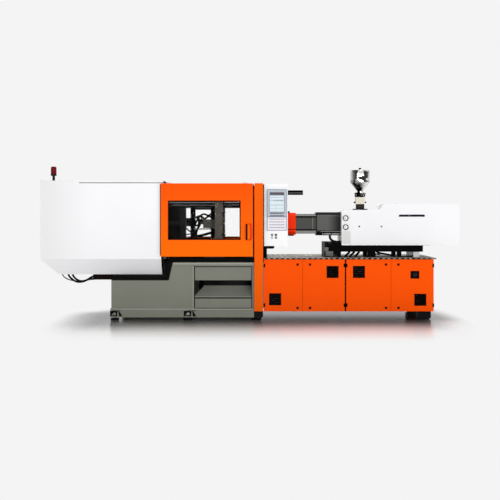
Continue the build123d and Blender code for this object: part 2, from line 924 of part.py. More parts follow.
def rear_links(level, name):
    """Both rear links of the upper (1) or lower (-1) toggle, each with its own pins."""
    z = axis_height + level * toggle_z
    crank_z = z - level * crank_pin_drop
    links = []
    for side in (-1, 1):
        circles = [(tail_pin_x, z, eye_radius), (elbow_x, z, eye_radius)]
        circles += [(crank_pin_x, crank_z, crank_eye_radius)]
        link = hull_plate(circles, *lane(side, lane_rear))
        out = side * (lane_front + link_thickness + pin_overhang)
        start = side * (lane_rear + link_thickness)
        link += rod("y", start, out, toggle_pin_radius, tail_pin_x, z)
        link += rod("y", start, out, toggle_pin_radius, elbow_x, z)
        link += rod("y", side * (lane_short + 1), side * lane_rear, crank_pin_radius, crank_pin_x, crank_z)
        links.append(link)
    keep(name, links)


def front_links(level, name):
    z = axis_height + level * toggle_z
    tube_x = elbow_x + tie_tube_share * link_length
    tube_end = lane_front + 1
    pair = rod("y", -tube_end, tube_end, tie_tube_radius, tube_x, z)
    for side in (-1, 1):
        y0, y1 = lane(side, lane_front)
        pair += hull_plate([(elbow_x, z, eye_radius), (platen_pin_x, z, eye_radius)], y0, y1)
    for x in (elbow_x, platen_pin_x):
        for side in (-1, 1):
            y0, y1 = lane(side, lane_front)
            pair -= rod("y", y0 - 1, y1 + 1, toggle_pin_radius + pin_gap, x, z)
    keep(name, pair)


def short_links(level, name):
    z = axis_height + level * toggle_z
    crank_z = z - level * crank_pin_drop
    links = []
    for side in (-1, 1):
        y0, y1 = lane(side, lane_short)
        circles = [(crank_pin_x, crank_z, crank_eye_radius), (crosshead_pin_x, z, crank_eye_radius)]
        link = hull_plate(circles, y0, y1)
        for x, pin_z in ((crank_pin_x, crank_z), (crosshead_pin_x, z)):
            link -= rod("y", y0 - 1, y1 + 1, crank_pin_radius + pin_gap, x, pin_z)
        links.append(link)
    keep(name, links)


def crosshead():
    half_y = lane_arm + link_thickness
    x0, x1 = crosshead_pin_x - crosshead_half_length, crosshead_pin_x + crosshead_half_length
    low, high = axis_height - crosshead_half_height, axis_height + crosshead_half_height
    head = block(x0, x1, -half_y, half_y, low, high)
    for side in (-1, 1):
        circles = [(crosshead_pin_x, axis_height + level * toggle_z, crank_eye_radius) for level in (-1, 1)]
        head += hull_plate(circles, *lane(side, lane_arm))
        for level in (-1, 1):
            z = axis_height + level * toggle_z
            end = side * (lane_short + link_thickness)
            head += rod("y", side * half_y, end, crank_pin_radius, crosshead_pin_x, z)
    front = x0
    stop = tail_back_x - clamp_flange
    end = stop - rod_play
    piston = rod("x", end - piston_length, end, clamp_bore_radius - pin_gap, 0, axis_height)
    keep("crosshead", head + rod("x", end, front, rod_radius, 0, axis_height) + piston)


def ejector():
    end = moving_back_x - ejector_cylinder_length
    half = ejector_cylinder_half
    low, high = axis_height - half, axis_height + half
    body = block(end, moving_back_x, -half, half, low, high)
    body -= rod("x", end + ejector_cylinder_end, moving_back_x + 1, ejector_rod_radius + pin_gap, 0, axis_height)
    parts["moving_platen"] += body.solids()
    tip = mould_face_x - slot_depth
    keep("ejector_rod", rod("x", end + ejector_rod_inset, tip, ejector_rod_radius, 0, axis_height))


# Base cabinet
door_spans = (
    (base_left, door_seam_left_x - door_gap / 2, -1),
    (door_seam_left_x + door_gap / 2, base_middle_x - base_middle_strip / 2, 1),
    (base_middle_x + base_middle_strip / 2, door_seam_right_x - door_gap / 2, -1),
    (door_seam_right_x + door_gap / 2, base_right, 1),
)


def hinge_x(left, right, hinge_side):
    """The hinge line of a door, just inside its hinged edge."""
    inset = knuckle_radius - knuckle_setback
    return left + inset if hinge_side < 0 else right - inset


def base_cabinet():
    front = -base_half_width + door_thickness + seat_gap
    roof = deck_top - deck_thickness
    body = block(base_left, base_right, front, base_half_width, base_bottom, roof)
    inner_top = roof - base_post / 2
    rear = base_half_width - base_rear_wall
    halves = (
        (base_left + base_post, base_middle_x - base_post / 2),
        (base_middle_x + base_post / 2, base_right - base_post),
    )
    for x0, x1 in halves:
        body -= block(x0, x1, front - 1, rear, base_bottom + base_post, inner_top)
    keep("base_cabinet", body)
    deck = block(base_left, deck_right, -deck_half_width, deck_half_width, roof, deck_top)
    first, last = box_left + notch_margin, deck_right - notch_margin - notch_length
    count = int((last - first) / notch_pitch) + 1
    for k in range(count):
        x0 = first + k * notch_pitch
        notch = block(x0, x0 + notch_length, -deck_half_width - 1, -deck_half_width + notch_depth, roof - 1,
                      roof + notch_height)
        deck -= notch + mirrored_y(notch)
    keep("deck_plate", deck)


def doors():
    face, back = -base_half_width, -base_half_width + door_thickness
    axis_y = face - knuckle_radius
    spans = zip(door_spans, vent_places)
    for number, ((left, right, hinge_side), (vent_x, vent_z)) in enumerate(spans, 1):
        door = block(left, right, face, back, base_bottom, door_top)
        door -= block(left + door_rim, right - door_rim, face + door_skin, back + 1,
                      base_bottom + door_rim, door_top - door_rim)
        half = vent_size / 2 - vent_lap
        door -= block(vent_x - half, vent_x + half, face - 1, back, vent_z - half, vent_z + half)
        pin_x = hinge_x(left, right, hinge_side)
        for z in knuckle_places_z:
            z0, z1 = z - knuckle_height / 2, z + knuckle_height / 2
            door += rod("z", z0, z1, knuckle_radius, pin_x, axis_y)
            x0, x1 = sorted((pin_x, pin_x - hinge_side * knuckle_leaf))
            door += block(x0, x1, face - knuckle_leaf_depth, face, z0, z1)
        free_x = right - latch_inset if hinge_side < 0 else left + latch_inset_right
        for z in latch_places_z:
            door += block(free_x - latch_size / 2, free_x + latch_size / 2, face - latch_depth, face + 1,
                          z - latch_size / 2, z + latch_size / 2)
        fittings = [vent_grille(vent_x, vent_z, face)]
        if left < switch_x < right:
            hole = switch_spindle_radius + pin_gap
            door -= rod("y", face - 1, face + door_skin + 1, hole, switch_x, switch_z)
            fittings.append(switch_plate())
        keep(f"door_{number}", door, fittings)


def vent_grille(x, z, face):
    """A louvre grille that closes the hole in a door."""
    half = vent_size / 2
    grille = block(x - half, x + half, face - vent_lip, face, z - half, z + half)
    pitch = (vent_size - 2 * vent_bar) / vent_slots
    for k in range(vent_slots):
        z0 = z - half + vent_bar + k * pitch
        slot_half = half - 2 * vent_bar
        grille -= block(x - slot_half, x + slot_half, face - vent_lip - 1, face + 1, z0 + vent_bar / 2,
                        z0 + pitch - vent_bar / 2)
    return grille


def hydraulics():
    floor = base_bottom + base_post
    top = floor + tank_height
    half = tank_half_width
    keep("oil_tank", block(tank_left, tank_right, -half, half, floor, top))
    motor_z = top + motor_radius
    left = tank_left + motor_inset
    right = left + motor_length
    motor = rod("x", left, right, motor_radius, 0, motor_z)
    motor += block(left + motor_inset, right - motor_inset, -motor_radius, motor_radius, top,
                   motor_z - motor_radius / 2)
    pump = rod("x", right, right + pump_length, pump_radius, 0, motor_z)
    pump += block(right + pump_foot_inset, right + pump_length - pump_foot_inset, -pump_foot_half_width,
                  pump_foot_half_width, top, motor_z)
    x0 = right + pump_length + manifold_gap
    half = manifold_half_width
    manifold = block(x0, x0 + manifold_length, -half, half, top, top + manifold_height)
    inset = (manifold_length - valve_length) / 2
    for y in valve_places_y:
        manifold += block(x0 + inset, x0 + inset + valve_length, y - valve_width / 2, y + valve_width / 2,
                          top + manifold_height, top + manifold_height + valve_height)
    keep("power_pack", motor + pump, manifold)


def electrics():
    floor = base_bottom + base_post
    top = deck_top - deck_thickness - base_post / 2
    board = block(board_left, board_right, board_y, board_y + board_thickness, floor, top)
    gear = [board]
    for rise, height, depth, count in zip(gear_rises, gear_heights, gear_depths, gear_counts):
        z0 = floor + rise
        pitch = (board_right - board_left - 2 * gear_margin) / count
        for k in range(count):
            x0 = board_left + gear_margin + k * pitch
            gear.append(block(x0, x0 + pitch * gear_fill, board_y - depth, board_y, z0, z0 + height))
    keep("switchgear", gear)


def switch_plate():
    face = -base_half_width
    w, h = switch_plate_width / 2, switch_plate_height / 2
    plate = block(switch_x - w, switch_x + w, face - switch_plate_depth, face, switch_z - h, switch_z + h)
    hole = switch_spindle_radius + pin_gap
    return plate - rod("y", face - switch_plate_depth - 1, face + 1, hole, switch_x, switch_z)


def switch_knob():
    face = -base_half_width
    front = face - switch_plate_depth
    grip = switch_grip_width / 2
    knob = rod("y", front - switch_knob_depth / 2, front - pin_gap, switch_knob_radius, switch_x, switch_z)
    knob += block(switch_x - grip, switch_x + grip, front - switch_knob_depth, front - switch_knob_depth / 2,
                  switch_z - switch_knob_radius, switch_z + switch_knob_radius)
    knob += rod("y", front - 1, face + door_skin, switch_spindle_radius, switch_x, switch_z)
    keep("switch_knob", knob)


# Control box
def button_places():
    """The push buttons' centres in X and Z: two rows of two."""
    columns = (button_left_x, button_left_x + button_pitch_x)
    return [(x, z) for z in (button_top_z, button_top_z - button_pitch_z) for x in columns]


def control_box():
    face, back = -box_face, -box_face + box_depth
    box = block(box_left, box_right, face, back, box_bottom, box_top)
    for x, z in button_places():
        depth = button_travel + button_stem_depth + door_gap
        box -= rod("y", face - 1, face + depth, button_stem_radius + pin_gap, x, z)
    keep("control_box", box)
    front = face - panel_depth
    panel = block(panel_left, panel_right, front, face, panel_split, panel_top)
    recess = block(panel_left + screen_margin, panel_right - screen_margin, front - 1,
                   front + screen_depth, screen_bottom, screen_top)
    glass = front + screen_depth
    keep("panel_screen", block(panel_left + screen_margin, panel_right - screen_margin, glass - screen_thickness,
                               glass, screen_bottom, screen_top))
    keys = block(panel_left, panel_right, front + keypad_setback, face, panel_bottom, panel_split)
    keep("control_panel", panel - recess + keys)
    for k, (x, z) in enumerate(button_places()):
        cap_back = face - button_travel - seat_gap
        cap = rod("y", face - button_depth, cap_back, button_radius, x, z)
        stem = rod("y", cap_back - 1, face + button_stem_depth, button_stem_radius, x, z)
        keep(f"button_{k + 1}", cap + stem)
    bar = bracket_bar
    y0, y1 = face + bracket_setback, face + bracket_setback + bar
    arm = block(box_left, bracket_reach, y0, y1, bracket_top - bar, bracket_top)
    arm += block(box_left, box_left + bar, y0, y1, deck_top, bracket_top)
    back = boom_y + boom_depth
    boom = block(box_right, boom_right, boom_y, back, boom_top - boom_bar, boom_top)
    boom += block(box_right, boom_right, boom_y, back, boom_bottom, boom_bottom + boom_bar)
    boom += block(boom_right - boom_end, boom_right, boom_y, back, boom_bottom, boom_top)
    keep("panel_bracket", arm, boom)


# Injection carriage
def carriage_beams():
    beams = []
    for side in (-1, 1):
        near, far = sorted((side * beam_inner, side * beam_outer))
        beam = block(beam_left, beam_right, near, far, beam_bottom, beam_top)
        for x0, x1 in beam_feet:
            beam += block(x0, x1, near, far, deck_top, beam_bottom)
        beams.append(beam)
    half = nose_half_width
    nose = block(nose_left, beam_left, -half, half, nose_floor, nose_top)
    inner = half - nose_wall
    nose -= block(nose_left + nose_foot, beam_left + 1, -inner, inner, nose_floor - 1, nose_top - nose_wall)
    foot = block(nose_left, nose_left + nose_foot, -half, half, deck_top, nose_floor)
    nose += foot + block(beam_left - nose_foot, beam_left, -half, half, deck_top, nose_floor)
    keep("guide_rails", beams, nose, gate_rails())


def carriage():
    low, high = beam_top + way_gap, beam_top + way_gap + carriage_plate
    half = beam_outer - carriage_margin
    plate = block(carriage_left, carriage_right, -half, half, low, high)
    base = axis_height - housing_half_height
    housing = block(housing_left, housing_right, -housing_half_width, housing_half_width, base,
                    axis_height + housing_half_height)
    for side in (-1, 1):
        near, far = sorted((side * housing_half_width, side * (housing_half_width - housing_leg)))
        housing += block(housing_left, housing_right, near, far, high, base)
    housing -= rod("x", housing_left - 1, housing_right + 1, barrel_radius + pin_gap, 0, axis_height)
    housing -= rod("z", axis_height, axis_height + housing_half_height + 1, hopper_throat, hopper_x, 0)
    bore = screw_radius + screw_gap
    barrel = rod("x", barrel_left, barrel_right, barrel_radius, 0, axis_height)
    barrel -= rod("x", barrel_left - 1, barrel_right + 1, bore, 0, axis_height)
    barrel -= rod("z", axis_height, axis_height + barrel_radius + 1, hopper_throat, hopper_x, 0)
    keep("barrel", barrel, nozzle())
    outline = chamfered_square(block_half, block_chamfer)
    ring = slab_yz(outline, block_left, block_right)
    hole = barrel_radius + pin_gap
    keep("barrel_end_block", ring - rod("x", block_left - 1, block_right + 1, hole, 0, axis_height))
    front = shroud(block_right, shroud_split, shroud_front_half, shroud_front_chamfer)
    keep("barrel_covers", front, shroud(shroud_split, shroud_right, shroud_rear_half, shroud_rear_chamfer))
    cylinders = []
    end = housing_right + inject_length
    for y in (-inject_y, inject_y):
        tube = rod("x", housing_right, end, inject_radius, y, axis_height)
        tube -= rod("x", housing_right + inject_end, end + 1, inject_rod_radius + pin_gap, y, axis_height)
        cylinders.append(tube)
    keep("feed_housing", housing + plate, cylinders)


def nozzle():
    """The nozzle, turned about the machine axis from (radius, distance along X) points."""
    base_x = barrel_left
    neck_end = nozzle_tip_x + nozzle_neck_length
    points = [
        (0, nozzle_tip_x),
        (nozzle_tip_radius, nozzle_tip_x),
        (nozzle_neck_radius, nozzle_tip_x + nozzle_cone),
        (nozzle_neck_radius, neck_end),
        (nozzle_radius, neck_end + nozzle_shoulder),
        (nozzle_radius, base_x - nozzle_head),
        (barrel_radius - nozzle_flange_step, base_x - nozzle_head + nozzle_cone),
        (barrel_radius, base_x),
        (0, base_x),
    ]
    outline = make_face(Polyline(*[(x, r) for r, x in points], close=True))
    return Pos(0, 0, axis_height) * revolve(Plane.XY * outline, Axis.X)


def shroud(left, right, half, chamfer):
    """A sheet cover round the heater bands, with its end plates on the barrel."""
    outer = slab_yz(chamfered_square(half, chamfer), left, right)
    inner_half = half - shroud_wall
    inner_chamfer = chamfer - shroud_wall * (2 - sqrt(2))
    inner = slab_yz(chamfered_square(inner_half, inner_chamfer), left + shroud_cap, right - shroud_cap)
    hole = rod("x", left - 1, right + 1, barrel_radius + pin_gap, 0, axis_height)
    return outer - inner - hole


def drive():
    half_y, half_z = housing_half_width - carriage_margin, drive_half_height
    right = drive_left + drive_length
    web = right - drive_web
    plate = block(drive_left, right, -half_y, half_y, axis_height - half_z, axis_height + half_z)
    plate -= rod("x", drive_left - 1, web, screw_radius + screw_gap, 0, axis_height)
    end = housing_right + inject_length
    for y in (-inject_y, inject_y):
        rod_start = end - injection_stroke - inject_rod_start
        plate += rod("x", rod_start, drive_left, inject_rod_radius, y, axis_height)
    motor = rod("x", right, right + motor_drive_length, motor_drive_radius, 0, axis_height)
    keep("drive_plate", plate + motor)
    tip_end = screw_tip_x + screw_tip_length
    shank = rod("x", tip_end, web - 1, screw_radius, 0, axis_height)
    tip = [(screw_tip_x, screw_tip_radius), (tip_end, screw_radius), (tip_end, 0), (screw_tip_x, 0)]
    cone = Pos(0, 0, axis_height) * revolve(make_face(Polyline(*tip, close=True)), Axis.X)
    keep("screw", shank + cone)


def injection_cover():
    def outline(inset):
        left, right = hood_left + inset, hood_right - inset
        low, high = hood_low_top - inset, hood_high_top - inset
        cut = hood_nose_chamfer
        points = [(left, hood_bottom - inset), (right, hood_bottom - inset), (right, high)]
        points += [(hood_ramp_right, high), (hood_ramp_right - hood_ramp_bend, high - hood_ramp_drop)]
        points += [(hood_ramp_left + hood_ramp_bend, low + hood_ramp_drop), (hood_ramp_left, low)]
        points += [(left + cut, low), (left, low - cut)]
        return points

    half = hood_half_width
    hood = slab_xz(outline(0), -half, half)
    hood -= slab_xz(outline(hood_wall), -half + hood_wall, half - hood_wall)
    mouth = shroud_rear_half + door_gap
    hood -= block(hood_left - 1, hood_left + hood_wall + 1, -mouth, mouth, axis_height - mouth,
                  axis_height + mouth)
    hood -= block(hopper_x - hopper_base_half, hopper_x + hopper_base_half, -hopper_base_half,
                  hopper_base_half, hood_low_top - hood_wall - 1, hood_low_top + 1)
    hood -= block(scale_left, scale_right, -half - 1, -half + hood_wall + 1, scale_z - scale_height / 2,
                  scale_z + scale_height / 2)
    keep("injection_cover", hood)
    dials, needles = [], []
    for z in gauge_places_z:
        front = -half - gauge_depth
        dial = rod("y", front, -half, gauge_radius, gauge_x, z)
        dial -= rod("y", front - 1, front + gauge_depth / 2, gauge_radius - gauge_wall, gauge_x, z)
        dials.append(dial)
        floor_y = front + gauge_depth / 2
        hub = rod("y", floor_y - needle_depth - 1, floor_y - pin_gap, needle_hub, gauge_x, z)
        hand = block(gauge_x - needle_length, gauge_x, floor_y - needle_depth, floor_y - 1,
                     z - needle_half_width, z + needle_half_width)
        needles.append(hub + hand)
    keep("pressure_gauges", dials)
    keep("needle_lower", needles[0])
    keep("needle_upper", needles[1])


# Hopper
def hopper():
    plate_top = hood_low_top + hopper_plate_thickness
    half = hopper_base_half
    base = block(hopper_x - hopper_plate_half, hopper_x + hopper_plate_half, -hopper_plate_half,
                 hopper_plate_half, hood_low_top, plate_top)
    base += block(hopper_x - half, hopper_x + half, -half, half, plate_top, hopper_base_top)
    throat_bottom = axis_height + housing_half_height
    foot = half - hopper_foot_inset
    base += block(hopper_x - foot, hopper_x + foot, -foot, foot, throat_bottom, hood_low_top)
    base -= rod("z", throat_bottom - 1, hopper_base_top + 1, hopper_throat, hopper_x, 0)
    slot = shutter_thickness / 2 + pin_gap
    base -= block(hopper_x - shutter_half - pin_gap, hopper_x + shutter_half + pin_gap, -half - 1,
                  half - shutter_stop, shutter_z - slot, shutter_z + slot)
    keep("hopper_base", base)
    thin = shutter_thickness / 2
    shutter = block(hopper_x - shutter_half, hopper_x + shutter_half, -half, half - shutter_stop - pin_gap,
                    shutter_z - thin, shutter_z + thin)
    shutter -= rod("z", shutter_z - thin - 1, shutter_z + thin + 1, shutter_hole_radius, hopper_x, 0)
    grip = shutter_handle_half
    shutter += block(hopper_x - grip, hopper_x + grip, -half - shutter_handle, -half, shutter_z - thin,
                     shutter_z + thin)
    keep("hopper_shutter", shutter)
    side = sight_half
    sight = block(hopper_x - side, hopper_x + side, -side, side, hopper_base_top, sight_top)
    inner = side - sight_wall
    sight -= block(hopper_x - inner, hopper_x + inner, -inner, inner, hopper_base_top + sight_frame,
                   sight_top - sight_frame)
    sight -= rod("z", hopper_base_top - 1, sight_top + 1, hopper_throat, hopper_x, 0)
    keep("sight_glass", sight)
    w = hopper_wall
    bowl = [
        (hopper_throat, sight_top),
        (flange_radius, sight_top),
        (flange_radius, sight_top + flange_thickness),
        (neck_radius + neck_collar, sight_top + flange_thickness),
        (neck_radius + neck_collar, neck_bottom),
        (flange_radius, neck_bottom),
        (flange_radius, cone_bottom - collar_gap),
        (neck_radius, cone_bottom - collar_gap),
        (neck_radius, cone_bottom),
        (bowl_radius, cone_top),
        (bowl_radius, bowl_top),
        (bowl_radius - w, bowl_top),
        (bowl_radius - w, cone_top + w),
        (hopper_throat, cone_bottom),
    ]
    lid_r = bowl_radius + lid_overlap
    top = bowl_top + lid_thickness
    lid = [(0, bowl_top + seat_gap), (lid_r, bowl_top + seat_gap), (lid_r, top)]
    lid += [(lid_knob_radius, top + lid_rise)]
    lid += [(lid_knob_radius, top + lid_knob_height), (0, top + lid_knob_height)]
    cap = turned(lid, hopper_x, 0)
    pin_y = lid_r + lid_knuckle_radius
    half_length = lid_knuckle_length / 2
    pin_z = bowl_top + lid_knuckle_radius + seat_gap
    cap += rod("x", hopper_x - half_length, hopper_x + half_length, lid_knuckle_radius, pin_y, pin_z)
    cap += block(hopper_x - half_length, hopper_x + half_length, lid_r - 20, pin_y, bowl_top + seat_gap, top)
    keep("hopper_lid", cap)
    ear = block(hopper_x - half_length, hopper_x + half_length, bowl_radius - 1, pin_y + lid_knuckle_radius,
                bowl_top - lid_ear_height, bowl_top)
    ear -= rod("z", bowl_top - lid_ear_height - 1, bowl_top + 1, bowl_radius - 1, hopper_x, 0)
    keep("hopper_bowl", turned(bowl, hopper_x, 0) + ear)


# Hoses that hang from the clamp cover's shelf to the end of the front way, each in its own plane of Y.
# The heights of a route's points are above the top of the low bed.
def hose_path(points, y, last_height):
    places = [Vector(points[0][0], y, hose_plate_z)]
    places += [Vector(x, y, low_bed_top + height) for x, height in points[1:]]
    return places + [Vector(bed_left - seat_gap, y, low_bed_top + last_height)]


hose_routes = {
    "hose_1": (hose_radius, hose_path([
        (-2437.0, 0.0), (-2437.0, 43.0), (-2372.0, -24.0), (-2310.0, -57.0), (-2235.0, -53.0),
        (-2165.0, -19.0), (-2080.0, -13.0), (-1985.0, -3.0), (-1886.0, 24.0)], -330.0, 24.0)),
    "hose_2": (hose_radius, hose_path([
        (-2387.0, 0.0), (-2387.0, 45.0), (-2330.0, -24.0), (-2262.0, -51.0), (-2190.0, -35.0),
        (-2130.0, 8.0), (-2050.0, 35.0), (-1960.0, 25.0), (-1875.0, 27.0)], -296.0, 27.0)),
    "hose_3": (thin_hose_radius, hose_path([
        (-2511.0, 0.0), (-2511.0, 67.0), (-2480.0, 13.0), (-2425.0, -19.0), (-2362.0, -35.0),
        (-2298.0, -49.0), (-2232.0, -45.0), (-2168.0, -25.0), (-2100.0, -7.0), (-2020.0, 1.0),
        (-1940.0, 13.0), (-1865.0, 21.0)], -355.0, 21.0)),
}


def hose(places, radius):
    """A hose along straight runs joined by arcs, each as large as its two runs allow."""
    runs = [b - a for a, b in zip(places, places[1:])]
    bends = []
    for before, after in zip(runs, runs[1:]):
        half_turn = radians(before.get_angle(after) / 2)
        bends.append(0.45 * min(before.length, after.length) / tan(half_turn))
    path = FilletPolyline(*places, radius=bends)
    start = Plane(origin=path @ 0, z_dir=path % 0)
    return sweep(start * Circle(radius), path=path), path.length, bends


def hoses():
    for name, (radius, places) in hose_routes.items():
        tube, length, bends = hose(places, radius)
        keep(name, tube)
        print(name, "length", round(length), "volume ratio", round(tube.volume / (pi * radius**2 * length), 3))
        print("  bend radii", [round(r) for r in bends])


def build():
    clamp_bed()
    drop_chute()
    levelling_feet()
    clamp_cover()
    beacon()
    gate(-1, "front")
    gate(1, "rear")
    column_covers()
    fixed_platen()
    moving_platen()
    tail_platen()
    rear_links(1, "upper_rear_link")
    rear_links(-1, "lower_rear_link")
    front_links(1, "upper_front_link")
    front_links(-1, "lower_front_link")
    short_links(1, "upper_short_link")
    short_links(-1, "lower_short_link")
    crosshead()
    ejector()
    base_cabinet()
    doors()
    hydraulics()
    electrics()
    switch_knob()
    control_box()
    carriage_beams()
    carriage()
    drive()
    injection_cover()
    hopper()
    hoses()
    os.makedirs("parts", exist_ok=True)
    for name, solids in parts.items():
        shape = solids[0] if len(solids) == 1 else Compound(solids)
        export_step(shape, f"parts/{name}.step")
    print(len(parts), "nodes")


build()
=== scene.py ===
# %% [markdown]
# # An injection moulding machine in a pale studio
# The machine's solids come from CAD, already in place and at full size. This lesson gives them
# their finishes and adds what CAD leaves plain: gaskets, a keypad, gauge faces, louvres, hoses.
# Lengths are written in millimetres, as on a drawing, and one factor turns them to metres.

# %% Load the frame
import math

import bmesh
import bpy
from mathutils import Matrix, Vector


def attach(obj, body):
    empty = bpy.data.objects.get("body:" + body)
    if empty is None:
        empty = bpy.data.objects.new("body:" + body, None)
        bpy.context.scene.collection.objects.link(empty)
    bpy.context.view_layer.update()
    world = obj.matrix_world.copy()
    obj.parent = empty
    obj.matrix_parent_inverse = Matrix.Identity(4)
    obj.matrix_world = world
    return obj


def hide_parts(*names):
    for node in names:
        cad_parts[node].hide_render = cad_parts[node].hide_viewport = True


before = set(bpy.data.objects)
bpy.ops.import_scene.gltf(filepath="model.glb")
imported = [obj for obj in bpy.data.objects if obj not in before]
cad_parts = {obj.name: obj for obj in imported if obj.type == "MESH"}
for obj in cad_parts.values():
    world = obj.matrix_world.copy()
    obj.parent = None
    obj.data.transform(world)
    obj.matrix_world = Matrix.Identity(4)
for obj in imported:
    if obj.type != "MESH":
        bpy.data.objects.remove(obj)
scene = bpy.context.scene
MM = 0.001
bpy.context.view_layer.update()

# %% [markdown]
# ## Camera
# The photograph looks straight at the operator's side from about twelve metres, with a long lens
# held level at chest height. A level camera keeps uprights upright, so the machine is moved down in
# the picture with the lens shift, as a product photographer does, and not by tilting.

# %% Camera
PHOTO_SIDE = 500
FOCAL_PIXELS = 937.5
HORIZON_ROW = 215.2
SENSOR = 36.0
CAMERA_AT = (-37, -12660, 1350)
lens = bpy.data.cameras.new("camera")
lens.sensor_width = SENSOR
lens.lens = FOCAL_PIXELS / PHOTO_SIDE * SENSOR
lens.shift_y = (HORIZON_ROW - PHOTO_SIDE / 2) / PHOTO_SIDE
lens.clip_end = 200
camera = bpy.data.objects.new("camera", lens)
scene.collection.objects.link(camera)
camera.location = Vector(CAMERA_AT) * MM
camera.rotation_euler = (math.radians(90), 0, 0)
scene.camera = camera
print("lens", round(lens.lens, 1), "mm")

# %% [markdown]
# ## Colour and nodes
# A paint shop names a colour in sRGB, and the renderer counts light linearly, so one function does
# the change. One more function adds a shader node with its settings and its links. Every finish
# ends in the same way, with its second colours laid over the first and the light's own settings
# on the surface shader, so that end is written once.


# %% Colour and node helpers
def linear(text):
    """An sRGB colour such as #f4f4f4 as linear light."""
    channels = [int(text[i : i + 2], 16) / 255 for i in (1, 3, 5)]
    return [c / 12.92 if c <= 0.04045 else ((c + 0.055) / 1.055) ** 2.4 for c in channels] + [1.0]


def add(tree, kind, links=None, **settings):
    """Adds a shader node and returns its outputs.

    settings are the node's options, and links gives its inputs a value or another node's output.
    """
    made = tree.nodes.new(f"ShaderNode{kind}")
    for name, value in settings.items():
        setattr(made, name, value)
    for name, value in (links or {}).items():
        if isinstance(value, bpy.types.NodeSocket):
            tree.links.new(value, made.inputs[name])
        else:
            made.inputs[name].default_value = value
    return made.outputs


print("paper white in linear light", round(linear("#f4f4f4")[0], 3))


# %% A material's zones and its surface
def new_material(name):
    """An empty material and its tree."""
    made = bpy.data.materials.new(name)
    made.use_nodes = True
    made.node_tree.nodes.clear()
    return made, made.node_tree


def zone_mask(tree, place, limits):
    """1 inside a zone and 0 outside it, with a step of 0.6 mm or as wide as a third number says.

    limits gives an axis its lower and its upper limit in mm, where None is an open side. lean is a
    slope with two limits: X + slope * Z goes from one to the other, past a line that leans.
    """
    columns = add(tree, "SeparateXYZ", {0: place})
    steps, mask = [], 1.0
    for axis, (low, high, *more) in limits.items():
        if axis == "lean":
            links = {0: columns[2], 1: low, 2: columns[0]}
            across = add(tree, "Math", links, operation="MULTIPLY_ADD")[0]
            steps.append((across, high, more[0], 0.0, 1.0))
            continue
        value, half = columns["xyz".index(axis)], (more[0] if more else 0.6) / 2
        if low is not None:
            steps.append((value, (low - half) * MM, (low + half) * MM, 0.0, 1.0))
        if high is not None:
            steps.append((value, (high - half) * MM, (high + half) * MM, 1.0, 0.0))
    for value, start, end, before, after in steps:
        links = {"Value": value, "From Min": start, "From Max": end}
        step = add(tree, "MapRange", links | {"To Min": before, "To Max": after})[0]
        mask = add(tree, "Math", {0: mask, 1: step}, operation="MULTIPLY")[0]
    return mask


def surface(tree, place, colour, roughness, normal=None, shine=0.5, metallic=0.0, zones=()):
    """The surface shader and the material's output. Each zone is its limits and its colour."""
    for limits, other in zones:
        links = {0: zone_mask(tree, place, limits), 6: colour, 7: linear(other)}
        colour = add(tree, "Mix", links, data_type="RGBA")[2]
    links = {"Base Color": colour, "Roughness": roughness, "Metallic": metallic}
    links["Specular IOR Level"] = shine
    if normal is not None:
        links["Normal"] = normal
    skin = add(tree, "BsdfPrincipled", links)[0]
    add(tree, "OutputMaterial", {"Surface": skin})


print("materials so far", len(bpy.data.materials))

# %% [markdown]
# ## Shapes
# Machine fittings are turned, folded or sawn from bar, and a bmesh operator stands for each of
# those jobs: spin is the lathe, a scaled cube with a bevel is the sawn and broken edge, and inset
# with extrude is the punched frame. Each shape is drawn lying flat about the origin, rising
# towards the reader, and then turned to face the way that the real one does.

# %% Turning and rounding
TURN_TO = {
    "up": Matrix.Identity(4),
    "front": Matrix.Rotation(math.radians(90), 4, "X"),
    "back": Matrix.Rotation(math.radians(-90), 4, "X"),
    "right": Matrix.Rotation(math.radians(90), 4, "Y"),
    "left": Matrix.Rotation(math.radians(-90), 4, "Y"),
}


def placed(shape, at, facing="up"):
    """Turns a shape to face up, front, back, right or left, and moves it to its place in mm."""
    turn = Matrix.Translation(at) @ TURN_TO[facing]
    bmesh.ops.transform(shape, matrix=turn, verts=shape.verts)
    return shape


def round_edges(shape, edges, radius, segments=2):
    """Rounds the given edges."""
    bmesh.ops.bevel(
        shape, geom=edges, offset=radius, offset_type="OFFSET", segments=segments, profile=0.5,
        affect="EDGES", material=-1,
    )
    return shape


def soften(shape, radius, segments=2, sharper_than=30):
    """Rounds the edges that are sharper than an angle."""
    limit = math.radians(sharper_than)
    sharp = [e for e in shape.edges if e.is_manifold and e.calc_face_angle() > limit]
    return round_edges(shape, sharp, radius, segments)


print("ways to face", len(TURN_TO))


# %% Bars and turned parts
def block(x, y, z, edge=0.0, segments=2):
    """A bar between pairs of limits in mm, with its edges rounded."""
    shape = bmesh.new()
    bmesh.ops.create_cube(shape, size=1)
    size = [abs(high - low) for low, high in (x, y, z)]
    bmesh.ops.scale(shape, vec=size, verts=shape.verts)
    if edge:
        soften(shape, edge, segments)
    middle = [(low + high) / 2 for low, high in (x, y, z)]
    bmesh.ops.translate(shape, vec=middle, verts=shape.verts)
    return shape


def turned(profile, steps=32, closed=False):
    """The lathe: a profile of (radius, height) in mm, spun round the upright axis."""
    shape = bmesh.new()
    points = [shape.verts.new((radius, 0, height)) for radius, height in profile]
    follow = points[1:] + points[:1] if closed else points[1:]
    edges = [shape.edges.new(pair) for pair in zip(points, follow)]
    bmesh.ops.spin(
        shape, geom=points + edges, cent=(0, 0, 0), axis=(0, 0, 1), angle=math.tau, steps=steps,
        use_merge=True,
    )
    bmesh.ops.remove_doubles(shape, verts=shape.verts, dist=0.001)
    bmesh.ops.recalc_face_normals(shape, faces=shape.faces)
    return shape


print("bar and lathe helpers ready")


